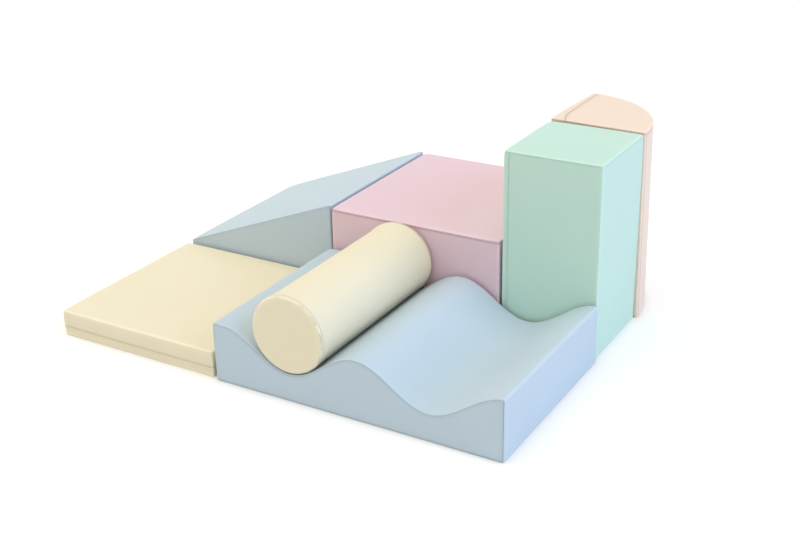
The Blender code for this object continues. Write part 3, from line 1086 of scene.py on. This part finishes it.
# Wedge. Blue leatherette over a ramp of foam, sewn like the wave, with the strip going over the
# slope. Zip low in the back.
wedge_slot = []
for wider in fold_sides:
    left, right = zip_end_margin - wider, wedge_width - zip_end_margin + wider
    low, high = zip_height - zip_half_width - wider, zip_height + zip_half_width + wider
    corners = [(left, low), (right, low), (right, high), (left, high), (left, low)]
    wedge_slot.append((True, spread_line(corners, close_spacing)[:-1]))
wedge.cover = Cover(
    wedge, lying_plan(wedge, back_slot), lying_stops(wedge), lying_rows(wedge),
    (wedge_slot, ()), roll=1.2 * mm, seed=3)
dress(wedge, lying_panels, "blue")

# Step. A top panel turned down over the edges and one band round the sides, joined by a tightly
# gathered seam. Zip low in the back.
top_seam_inset = 8 * mm


def banded_plan(form, seam_inset):
    """A top panel, a side band, the base panel in its underside and the slot in its back."""

    def plan(place):
        if on_base(form, place):
            return "base"
        if back_slot(form, place):
            return None
        return "top" if place.z > form.height - seam_inset else "band"

    return plan


banded_panels = {"top": "top_panel", "band": "side_band", "base": "base_panel"}
step.cover = Cover(
    step, banded_plan(step, top_seam_inset), slot_stops(step, 4, step.width),
    flanked(step.row_at(top_seam_inset, far=True)) + slot_rows(step, zip_height),
    (block_opening(step), ()), roll=1.2 * mm, seed=4)
dress(step, banded_panels, "pink")

# Column. Sewn like the step from green leatherette, with the top's seam right at the edge, and the
# band closed by a seam near the front left edge.
column_top_inset = 5 * mm
column_seam_inset = 17 * mm


def column_closing(middle, edge):
    return middle.z < column.height - column_top_inset and all(
        abs(vert.co.x - column_seam_inset) < merge_distance and vert.co.y < panel_setback + mm
        for vert in edge.verts)


column_closing_line = [
    (column_seam_inset, block_edge_radius), (column_seam_inset, panel_setback)]
column.cover = Cover(
    column, banded_plan(column, column_top_inset),
    slot_stops(column, 4, column.width)
    + flanked(column.along(0, column_seam_inset - block_edge_radius)),
    flanked(column.row_at(column_top_inset, far=True)) + slot_rows(column, zip_height),
    (block_opening(column) + [(False, column_closing_line)], ()),
    closing=column_closing, roll=0.8 * mm, ripple=1.1, seed=5)
dress(column, banded_panels, "green")

# Quarter-round. Four panels: the left one is cut with a strip that reaches over the top and narrows
# towards the back. Zip low in the left side.
quarter_seam_inset = 7.5 * mm
quarter_front_seam = 9 * mm
quarter_far = quarter.outline[4][1](0)[0]
quarter_strip = [(x * mm, y * mm) for x, y in (
    (48, 5), (40, 22), (34, 40), (30, 60), (27.5, 92), (25, 154), (22.5, 232), (20.5, 288))]
quarter_strip.append(tuple(quarter_far))


def strip_edge(y):
    """How far right the left panel reaches on the top."""
    for (x0, y0), (x1, y1) in zip(quarter_strip, quarter_strip[1:]):
        if y < y0:
            return x0
        if y < y1:
            return x0 + (x1 - x0) * (y - y0) / (y1 - y0)
    return side_seam_inset


def quarter_plan(place):
    within = math.hypot(place.x, place.y) < quarter_radius - panel_setback
    if place.z < underside and min(place.x, place.y) > panel_setback and within:
        return "base"
    if left_slot(quarter, place):
        return None
    if place.z > quarter_height - quarter_seam_inset:
        return "left" if place.x < strip_edge(place.y) else "top"
    if place.x < side_seam_inset:
        return "left"
    return "front" if place.y < quarter_front_seam else "round"


def corner_stop(outline, piece, axis, goal):
    """The stop on a rounded corner where it crosses a line, found by halving."""
    length, at = outline[piece]
    low, high = 0.0, length

    def beyond(stop):
        place, outward = at(stop)
        return (place + outward * quarter_edge_radius)[axis] > goal

    rising = beyond(high)
    for _ in range(40):
        middle = (low + high) / 2
        if beyond(middle) == rising:
            high = middle
        else:
            low = middle
    return low


quarter_seams = [
    quarter.along(5, corner_stop(quarter.outline, 5, 0, side_seam_inset)),
    quarter.along(3, corner_stop(quarter.outline, 3, 0, side_seam_inset)),
    quarter.along(2, quarter_radius * (
        math.asin(quarter_front_seam / quarter_radius)
        - math.asin(quarter_edge_radius / (quarter_radius - quarter_edge_radius)))),
    quarter.along(0, quarter_strip[0][0] - quarter_edge_radius)]
quarter_opening = [
    closed_line(quarter_outline(panel_setback + wider, opening_radius), opening_radius)
    for wider in fold_sides]
strip_lines = []
for aside in fold_sides:
    strip_lines.append((False, spread_line(
        [Vector(corner) + Vector((aside if number < len(quarter_strip) - 1 else 0, 0))
         for number, corner in enumerate(quarter_strip)], close_spacing)))
quarter.cover = Cover(
    quarter, quarter_plan,
    flanked(*quarter_seams) + rims(
        quarter.along(4, quarter_far.y - zip_end_margin),
        quarter.along(4, quarter_far.y - quarter_radius + zip_end_margin)),
    flanked(quarter.row_at(quarter_seam_inset, far=True)) + slot_rows(quarter, zip_height),
    (quarter_opening, strip_lines), roll=1.0 * mm, seed=6)
dress(quarter, {"left": "left_panel", "top": "top_panel", "front": "front_panel",
                "round": "round_panel", "base": "base_panel"}, "peach")

# Roller. A cream leatherette sleeve with a round disc sewn into each end, over a foam cylinder.
# Zip along the underside.
disc_seam_inset = 9 * mm


def roller_plan(place):
    beside = abs(place.x) < zip_half_width - merge_distance
    if place.z < 0 and beside and zip_end_margin < place.y < roller_length - zip_end_margin:
        return None
    if place.y < disc_seam_inset:
        return "front"
    return "back" if place.y > roller_length - disc_seam_inset else "wrap"


roller_under = roller_radius * 1.5 * math.pi
roller.cover = Cover(
    roller, roller_plan, rims(roller_under - zip_half_width, roller_under + zip_half_width),
    flanked(*both_ends(roller, disc_seam_inset)) + rims(*both_ends(roller, zip_end_margin)),
    seed=7)
dress(roller, {"front": "front_disc", "back": "rear_disc", "wrap": "sleeve"}, "cream")

# Zips. Each cover closes with two woven tapes and two rows of moulded teeth that lock together,
# with a stop at each end. The tapes are topstitched into the slot. A die-cast slider with a wire
# bail and a flat pull runs on the teeth.
face_to_tape = 3.5 * mm
tape_thickness = 0.8 * mm
tape_half_width = 7.05 * mm
tooth_pitch = 2.5 * mm
tooth_middle = -2.7 * mm
tooth_sections = (
    (2.4, 0.55, 0.60), (0.9, 0.75, 0.78), (0.35, 0.46, 0.74), (-0.35, 0.68, 0.74),
    (-0.75, 0.40, 0.50))
stop_length = 3 * mm
slider_length = 10 * mm
stitch_length = 3.1 * mm
stitch_pitch = 4 * mm
thread_radius = 0.24 * mm
stitch_margin = 3.4 * mm


class Zip:
    """Where a zip lies: its middle on the cover's face, the way it runs and the way it faces."""

    def __init__(self, form, middle, along, outward, side):
        along, outward = Vector(along), Vector(outward)
        turn = Matrix((along, outward.cross(along), outward)).transposed().to_4x4()
        self.form = form
        self.place = Matrix.Translation(Vector(middle)) @ turn
        self.half = (side - 2 * zip_end_margin) / 2


def left_zip(form, height=zip_height):
    """A zip along the middle of a form's left side."""
    return Zip(form, (0, form.depth / 2, height), (0, 1, 0), (-1, 0, 0), form.depth)


def back_zip(form):
    """A zip along the middle of a form's back."""
    middle = (form.width / 2, form.depth, zip_height)
    return Zip(form, middle, (-1, 0, 0), (0, 1, 0), form.width)


zip_on_roller = 113.8 * mm
zips = (
    left_zip(mat, mat_seam_height), left_zip(wave), back_zip(wedge), back_zip(step),
    back_zip(column), left_zip(quarter),
    Zip(roller, (0, roller_length / 2, -zip_on_roller), (0, 1, 0), (0, 0, -1), roller_length))


def weave_tape(way):
    """Both tapes, a little uneven as woven tape lies, with their run kept for the weave."""
    bm = bmesh.new()
    run = bm.verts.layers.float_vector.new("weave")
    end = way.half - 0.1 * mm
    stops = stations(2 * end, 6 * mm)
    across = [share * mm for share in (0.7, 1.5, 2.6, 4.0, 5.5, 6.5)] + [tape_half_width]
    for side in (-1, 1):
        rows = []
        for stop in stops:
            row = []
            for wide in across:
                spot = Vector((stop * 38, side * 3.1 + wide * 90, way.half * 70))
                lift = 0.18 * noise.noise(spot)
                vert = bm.verts.new((stop - end, side * wide, -face_to_tape + lift * mm))
                vert[run] = (stop, side * wide, 0)
                row.append(vert)
            rows.append(row)
        for first, second in zip(rows, rows[1:]):
            for number in range(len(across) - 1):
                corners = [first[number], second[number], second[number + 1], first[number + 1]]
                bm.faces.new(corners if side < 0 else reversed(corners))
    bm.normal_update()
    for face in bm.faces:
        if face.normal.z < 0:
            face.normal_flip()
    bmesh.ops.transform(bm, matrix=way.place, verts=bm.verts)
    return bm


def rounded_bar(bm, low, high, edge):
    """A small bar between two corners with its edges broken."""
    made = bmesh.ops.create_cube(bm, size=1)["verts"]
    low, high = Vector(low), Vector(high)
    bmesh.ops.scale(bm, vec=high - low, verts=made)
    bmesh.ops.translate(bm, vec=(low + high) / 2, verts=made)
    edges = list(dict.fromkeys(line for vert in made for line in vert.link_edges))
    bmesh.ops.bevel(bm, geom=edges, offset=edge, segments=2, affect="EDGES", profile=0.6)


def join_rings(bm, rings, turn=1):
    """Walls between rings of the same count, and a cap on each end, facing out for a turn of 1."""
    for inner, outer in zip(rings, rings[1:]):
        for first in range(len(inner)):
            second = (first + 1) % len(inner)
            wall = (inner[first], inner[second], outer[second], outer[first])
            bm.faces.new(wall if turn > 0 else (wall[0], wall[3], wall[2], wall[1]))
    bm.faces.new(rings[0][::-turn])
    bm.faces.new(rings[-1][::turn])


def mould_teeth(way):
    """Two rows of teeth, the heads of one between the necks of the other, and four end stops."""
    bm = bmesh.new()
    end = way.half - stop_length - 0.4 * mm
    count = int(2 * end / tooth_pitch)
    first = -count * tooth_pitch / 2
    for side, offset in ((-1, 0), (1, tooth_pitch / 2)):
        for number in range(count):
            middle = first + number * tooth_pitch + offset + tooth_pitch / 4
            rings = []
            for wide, thick, tall in tooth_sections:
                corners = []
                for u, w in ((1, 0.5), (0.55, 1), (-0.55, 1), (-1, 0.5),
                             (-1, -0.5), (-0.55, -1), (0.55, -1), (1, -0.5)):
                    corners.append(bm.verts.new((
                        middle + u * thick * mm, side * wide * mm, tooth_middle + w * tall * mm)))
                rings.append(corners)
            join_rings(bm, rings, turn=-1)
    for edge in (-1, 1):
        for side in (-1, 1):
            near, far = sorted((side * 0.1 * mm, side * 2.6 * mm))
            start, stop = sorted((edge * (way.half - stop_length), edge * (way.half - 0.5 * mm)))
            rounded_bar(bm, (start, near, tooth_middle - 0.75 * mm),
                        (stop, far, tooth_middle + 0.85 * mm), 0.3 * mm)
    bmesh.ops.recalc_face_normals(bm, faces=bm.faces)
    bmesh.ops.transform(bm, matrix=way.place, verts=bm.verts)
    return bm


def plate_outline(shape, rounding):
    """The rounded outline of a flat metal part, from corners in order, in millimetres."""
    corners = [Vector(corner) * mm for corner in shape]
    ring = ring_of(box_outline(corners, rounding), rounding, 2 * mm)
    return [place + outward * rounding for place, outward in ring]


def cast_plate(bm, outlines, low, high, edge):
    """Adds a flat metal part with broken edges: the first outline is its rim, the others holes."""
    drawn = bpy.data.curves.new("plate", "CURVE")
    drawn.dimensions = "2D"
    drawn.fill_mode = "BOTH"
    drawn.extrude = (high - low) / 2 - edge
    drawn.bevel_depth = edge
    drawn.bevel_resolution = 1
    drawn.offset = -edge
    for outline in outlines:
        spline = drawn.splines.new("POLY")
        spline.points.add(len(outline) - 1)
        for point, place in zip(spline.points, outline):
            point.co = (place[0], place[1], 0, 1)
        spline.use_cyclic_u = True
    add_curve(bm, drawn, (0, 0, (low + high) / 2))


def add_curve(bm, drawn, shift):
    """Adds a curve's mesh, moved to its place, and clears the curve away."""
    shown = show("drawn", drawn)
    mesh = bpy.data.meshes.new_from_object(
        shown.evaluated_get(bpy.context.evaluated_depsgraph_get()))
    mesh.transform(Matrix.Translation(shift))
    bm.from_mesh(mesh)
    bpy.data.objects.remove(shown)
    bpy.data.curves.remove(drawn)
    bpy.data.meshes.remove(mesh)


def cast_slider(way):
    """A shield-shaped body with two rails, a wire bail over it, and the pull in the bail."""
    bm = bmesh.new()
    shield = plate_outline([(-5, -4.8), (5, -4.0), (5, 4.0), (-5, 4.8)], 1.3 * mm)
    cast_plate(bm, [shield], -1.6 * mm, -0.4 * mm, 0.25 * mm)
    for side in (-1, 1):
        near, far = sorted((side * 2.9 * mm, side * 4.3 * mm))
        rounded_bar(bm, (-4.6 * mm, near, -3.25 * mm), (4.6 * mm, far, -1.0 * mm), 0.3 * mm)
    bail = bpy.data.curves.new("bail", "CURVE")
    bail.dimensions = "3D"
    bail.bevel_depth = 0.4 * mm
    bail.bevel_resolution = 3
    bail.use_fill_caps = True
    wire = bail.splines.new("POLY")
    bends = [(-3.4, -0.7), (-3.1, 0.1), (-2.4, 0.55), (-1.0, 0.75), (1.0, 0.8), (2.6, 0.7),
             (3.5, 0.35), (3.85, -0.2), (3.9, -0.7)]
    wire.points.add(len(bends) - 1)
    for point, (u, w) in zip(wire.points, bends):
        point.co = (u * mm, 0, w * mm, 1)
    add_curve(bm, bail, (0, 0, 0))
    pull = bmesh.new()
    rim = plate_outline(
        [(0.2, -2.8), (5.2, -2.8), (8.5, -1.6), (20, -3.1), (26.9, -2.4), (26.9, 2.4), (20, 3.1),
         (8.5, 1.6), (5.2, 2.8), (0.2, 2.8)], 0.8 * mm)
    eye = [Vector((3.0 + 1.5 * math.cos(turn * math.pi / 8), 1.5 * math.sin(turn * math.pi / 8)))
           * mm for turn in range(16)]
    cast_plate(pull, [rim, eye], -0.3 * mm, 0.45 * mm, 0.18 * mm)
    pad = plate_outline([(12, -1.4), (25, -1.7), (25, 1.7), (12, 1.4)], 0.8 * mm)
    cast_plate(pull, [pad], 0.3 * mm, 0.68 * mm, 0.15 * mm)
    hang = Matrix.Translation((3.6 * mm, 0, 0)) @ Matrix.Rotation(math.radians(2.6), 4, "Y") \
        @ Matrix.Translation((-3.6 * mm, 0, 0))
    bmesh.ops.transform(pull, matrix=hang, verts=pull.verts)
    hung = bpy.data.meshes.new("hung")
    pull.to_mesh(hung)
    pull.free()
    bm.from_mesh(hung)
    bpy.data.meshes.remove(hung)
    bmesh.ops.remove_doubles(bm, verts=bm.verts, dist=merge_distance)
    start = way.place @ Matrix.Translation((stop_length + slider_length / 2 - way.half, 0, 0))
    bmesh.ops.transform(bm, matrix=start, verts=bm.verts)
    return bm


def topstitch(way, cloths):
    """Thread beside the slot and across its ends, sunk into the cloth at each needle hole."""
    depsgraph = bpy.context.evaluated_depsgraph_get()
    nets = [BVHTree.FromObject(cloth.evaluated_get(depsgraph), depsgraph) for cloth in cloths]
    to_world = way.form.place @ way.place
    outward = (to_world.to_3x3() @ Vector((0, 0, 1))).normalized()
    reach, rise = way.half + stitch_margin, zip_half_width + stitch_margin
    corners = [(-reach, -rise), (reach, -rise), (reach, rise), (-reach, rise), (-reach, -rise)]
    bm = bmesh.new()
    for start, end in zip(corners, corners[1:]):
        start, end = Vector(start), Vector(end)
        along = (end - start).normalized()
        count = max(1, round((end - start).length / stitch_pitch))
        for number in range(count):
            middle = start + (end - start) * (number + 0.5) / count
            rings = []
            for share, sunk, thin in ((-0.5, 0.5, 0.7), (-0.38, 0.02, 1), (0, -0.1, 1),
                                      (0.38, 0.02, 1), (0.5, 0.5, 0.7)):
                spot = middle + along * share * stitch_length
                above = to_world @ Vector((spot.x, spot.y, 12 * mm))
                hits = [net.ray_cast(above, -outward, 20 * mm) for net in nets]
                hits = [hit for hit in hits if hit[0] is not None]
                if not hits:
                    break
                place = min(hits, key=lambda hit: hit[3])[0] - outward * sunk * thread_radius * 2
                sideways = (to_world.to_3x3() @ Vector((-along.y, along.x, 0))).normalized()
                rings.append([
                    bm.verts.new(place + (sideways * math.cos(turn) + outward * math.sin(turn))
                                 * thread_radius * thin)
                    for turn in [corner * math.pi / 3 for corner in range(6)]])
            if len(rings) < 5:
                continue
            join_rings(bm, rings)
    loose = [vert for vert in bm.verts if not vert.link_faces]
    bmesh.ops.delete(bm, geom=loose, context="VERTS")
    bmesh.ops.recalc_face_normals(bm, faces=bm.faces)
    bmesh.ops.transform(bm, matrix=way.form.place.inverted(), verts=bm.verts)
    return bm


def woven_tape():
    """Flat woven polyester tape: fine crossing yarns."""
    material, tree, shader = new_material("zip tape", 0.85)
    run = tree.nodes.new("ShaderNodeAttribute")
    run.attribute_name = "weave"
    yarns = []
    for direction, scale in (("X", 480.0), ("Y", 620.0)):
        yarn = new_node(tree, "ShaderNodeTexWave", Scale=scale, Distortion=0.4)
        yarn.bands_direction = direction
        tree.links.new(run.outputs["Vector"], yarn.inputs["Vector"])
        yarns.append(arithmetic(tree, "SUBTRACT", yarn.outputs["Fac"], 0.5))
    crossing = arithmetic(tree, "MULTIPLY", yarns[0], yarns[1])
    height = times_plus(tree, crossing, 2.0, 0.5)
    drift = add_drift(tree, 0.04, 90.0)
    # The weave's low crossings are darker, as painted shade.
    shade = mixed(tree, height, (0.52, 0.50, 0.45), (0.74, 0.72, 0.66))
    tree.links.new(shade, drift.inputs["Colour"])
    tree.links.new(drift.outputs["Colour"], shader.inputs["Base Color"])
    add_relief(tree, shader, height, 0.0002, 0.8)
    return material


def moulded_teeth():
    """Acetal teeth: milky white, faintly cloudy, with a soft shine."""
    material, tree, shader = new_material("zip teeth", 0.38)
    drift = add_drift(tree, 0.05, 300.0, (0.80, 0.79, 0.74))
    tree.links.new(drift.outputs["Colour"], shader.inputs["Base Color"])
    add_relief(tree, shader, drift.outputs["Mask"], 0.0001, 0.3)
    return material


def cast_metal():
    """Die-cast zinc with a satin nickel plate and fine tumbling marks."""
    material, tree, shader = new_material("satin nickel", 0.34)
    shader.inputs["Metallic"].default_value = 1.0
    drift = add_drift(tree, 0.08, 400.0, (0.66, 0.66, 0.67))
    tree.links.new(drift.outputs["Colour"], shader.inputs["Base Color"])
    marks = on_object(tree, "ShaderNodeTexNoise", Scale=3500.0, Detail=3.0)
    tree.links.new(
        times_plus(tree, marks.outputs["Fac"], 0.2, 0.24), shader.inputs["Roughness"])
    add_relief(tree, shader, marks.outputs["Fac"], 0.00005, 0.35)
    return material


def sewing_thread(name, colour):
    """Bonded polyester thread: the plies show as slanting grooves."""
    material, tree, shader = new_material(name, 0.55)
    plies = on_object(tree, "ShaderNodeTexWave", Scale=560.0, Distortion=1.0)
    plies.bands_direction = "DIAGONAL"
    # The grooves between the plies are darker, as painted shade.
    shade = mixed(tree, plies.outputs["Fac"], [0.8 * channel for channel in colour], colour)
    tree.links.new(shade, shader.inputs["Base Color"])
    add_relief(tree, shader, plies.outputs["Fac"], 0.0001, 0.5)
    return material


tape_finish, teeth_finish, slider_finish = woven_tape(), moulded_teeth(), cast_metal()
threads = {
    name: sewing_thread(name + " thread", colour) for name, colour in (
        ("cream", (0.86, 0.80, 0.62)), ("blue", (0.55, 0.66, 0.74)),
        ("pink", (0.80, 0.62, 0.65)), ("green", (0.63, 0.80, 0.69)),
        ("peach", (0.88, 0.74, 0.62)))}
sewn_round_zip = {
    "mat": ("top", "bottom"), "wave": ("wrap",), "wedge": ("back", "wrap"), "step": ("band",),
    "column": ("band",), "quarter": ("left",), "roller": ("wrap",)}
for way in zips:
    form = way.form
    tape = put_down(weave_tape(way), form.name + "_tape", form, form.name, tape_finish)
    thicken = tape.modifiers.new("tape", "SOLIDIFY")
    thicken.thickness = tape_thickness
    thicken.offset = -1
    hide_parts(form.name + "_zip")
    teeth = put_down(mould_teeth(way), form.name + "_teeth", form, form.name, teeth_finish)
    teeth.data.set_sharp_from_angle(angle=math.radians(50))
    slider = put_down(
        cast_slider(way), form.name + "_slider", form, form.name + "_zip_slider", slider_finish)
    slider.data.set_sharp_from_angle(angle=math.radians(40))
    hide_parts(form.name + "_zip_slider")
    cloths = [bpy.data.objects[form.name + "_" + panel] for panel in sewn_round_zip[form.name]]
    stitches = put_down(
        topstitch(way, cloths), form.name + "_topstitch", form, form.name, threads[form.shade])

# Studio. A pale floor that fades into a white room, soft lamps overhead and to the sides, and the
# camera where the photographer stood.
floor_bm = bmesh.new()
bmesh.ops.create_grid(floor_bm, x_segments=24, y_segments=24, size=12)
floor_mesh = bpy.data.meshes.new("studio_floor")
floor_bm.to_mesh(floor_mesh)
floor_bm.free()
show("studio_floor", floor_mesh)

floor_paint, floor_tree, floor_shader = new_material("pale floor", 0.7)
floor_shader.inputs["Base Color"].default_value = (0.80, 0.795, 0.785, 1)
floor_shader.inputs["Emission Color"].default_value = (1.0, 0.985, 0.97, 1)
# The floor glows for camera rays only, as a pale backdrop. Ambient occlusion cuts that glow near
# the modules, which paints a contact shadow, and the glow fades with distance from the set.
floor_light = floor_tree.nodes.new("ShaderNodeLightPath")
painted_contact_shadow = new_node(floor_tree, "ShaderNodeAmbientOcclusion", Distance=0.03)
painted_contact_shadow.samples = 16
seen = arithmetic(
    floor_tree, "MULTIPLY", floor_light.outputs["Is Camera Ray"], painted_contact_shadow.outputs["AO"])
floor_place = floor_tree.nodes.new("ShaderNodeTexCoord")
floor_reach = floor_tree.nodes.new("ShaderNodeVectorMath")
floor_reach.operation = "LENGTH"
floor_tree.links.new(floor_place.outputs["Object"], floor_reach.inputs[0])
glow = smooth_range(
    floor_tree, floor_reach.outputs["Value"], From_Min=8.0, From_Max=1.2, To_Min=0.10,
    To_Max=0.25)
seen = arithmetic(floor_tree, "MULTIPLY", seen, glow)
floor_tree.links.new(seen, floor_shader.inputs["Emission Strength"])
floor_mesh.materials.append(floor_paint)

room = bpy.data.worlds.new("white room")
room.use_nodes = True
bpy.context.scene.world = room
room_tree = room.node_tree
room_shader = room_tree.nodes["Background"]
room_light = room_tree.nodes.new("ShaderNodeLightPath")
seen = arithmetic(
    room_tree, "MAXIMUM", room_light.outputs["Is Camera Ray"],
    arithmetic(room_tree, "MAXIMUM", room_light.outputs["Is Glossy Ray"],
               room_light.outputs["Is Transmission Ray"]))
room_strength = times_plus(room_tree, seen, 0.48, 0.50)
room_shader.inputs["Color"].default_value = (0.98, 0.975, 0.965, 1)
room_tree.links.new(room_strength, room_shader.inputs["Strength"])


def soft_lamp(name, toward, strength, colour, width):
    """A wide soft lamp a long way off, as a large studio softbox."""
    lamp = bpy.data.lights.new(name, "SUN")
    lamp.energy = strength
    lamp.color = colour
    lamp.angle = math.radians(width)
    show(name, lamp).rotation_euler = Vector(toward).to_track_quat("-Z", "Y").to_euler()


soft_lamp("overhead_softbox", (0.1, 0.15, -1), 1.15, (1.0, 0.98, 0.82), 70)
soft_lamp("right_window", (-1, -0.1, -0.35), 1.95, (0.54, 0.68, 1.0), 60)
soft_lamp("front_fill", (-0.1, 1, -0.2), 0.12, (1.0, 0.96, 0.88), 60)
soft_lamp("left_fill", (1, 0.2, -0.5), 0.8, (1.0, 0.95, 0.86), 60)

picture_width = 800
focal_pixels = 1240.3
sensor_width = 36
camera_place = (1.8655, -2.9694, 1.6967)
camera_angles = (-30.954, 24.001, 1.326)
camera = bpy.data.cameras.new("camera")
camera.sensor_width = sensor_width
camera.lens = focal_pixels * sensor_width / picture_width
camera_object = show("camera", camera)
yaw, pitch, roll = (math.radians(angle) for angle in camera_angles)
ahead = Vector((
    math.sin(yaw) * math.cos(pitch), math.cos(yaw) * math.cos(pitch), -math.sin(pitch)))
level_right = Vector((math.cos(yaw), -math.sin(yaw), 0))
level_down = ahead.cross(level_right)
right = level_right * math.cos(roll) + level_down * math.sin(roll)
down = level_down * math.cos(roll) - level_right * math.sin(roll)
camera_object.matrix_world = Matrix.Translation(camera_place) @ Matrix(
    (right, -down, -ahead)).transposed().to_4x4()
bpy.context.scene.camera = camera_object
bpy.context.scene.view_settings.view_transform = "Standard"
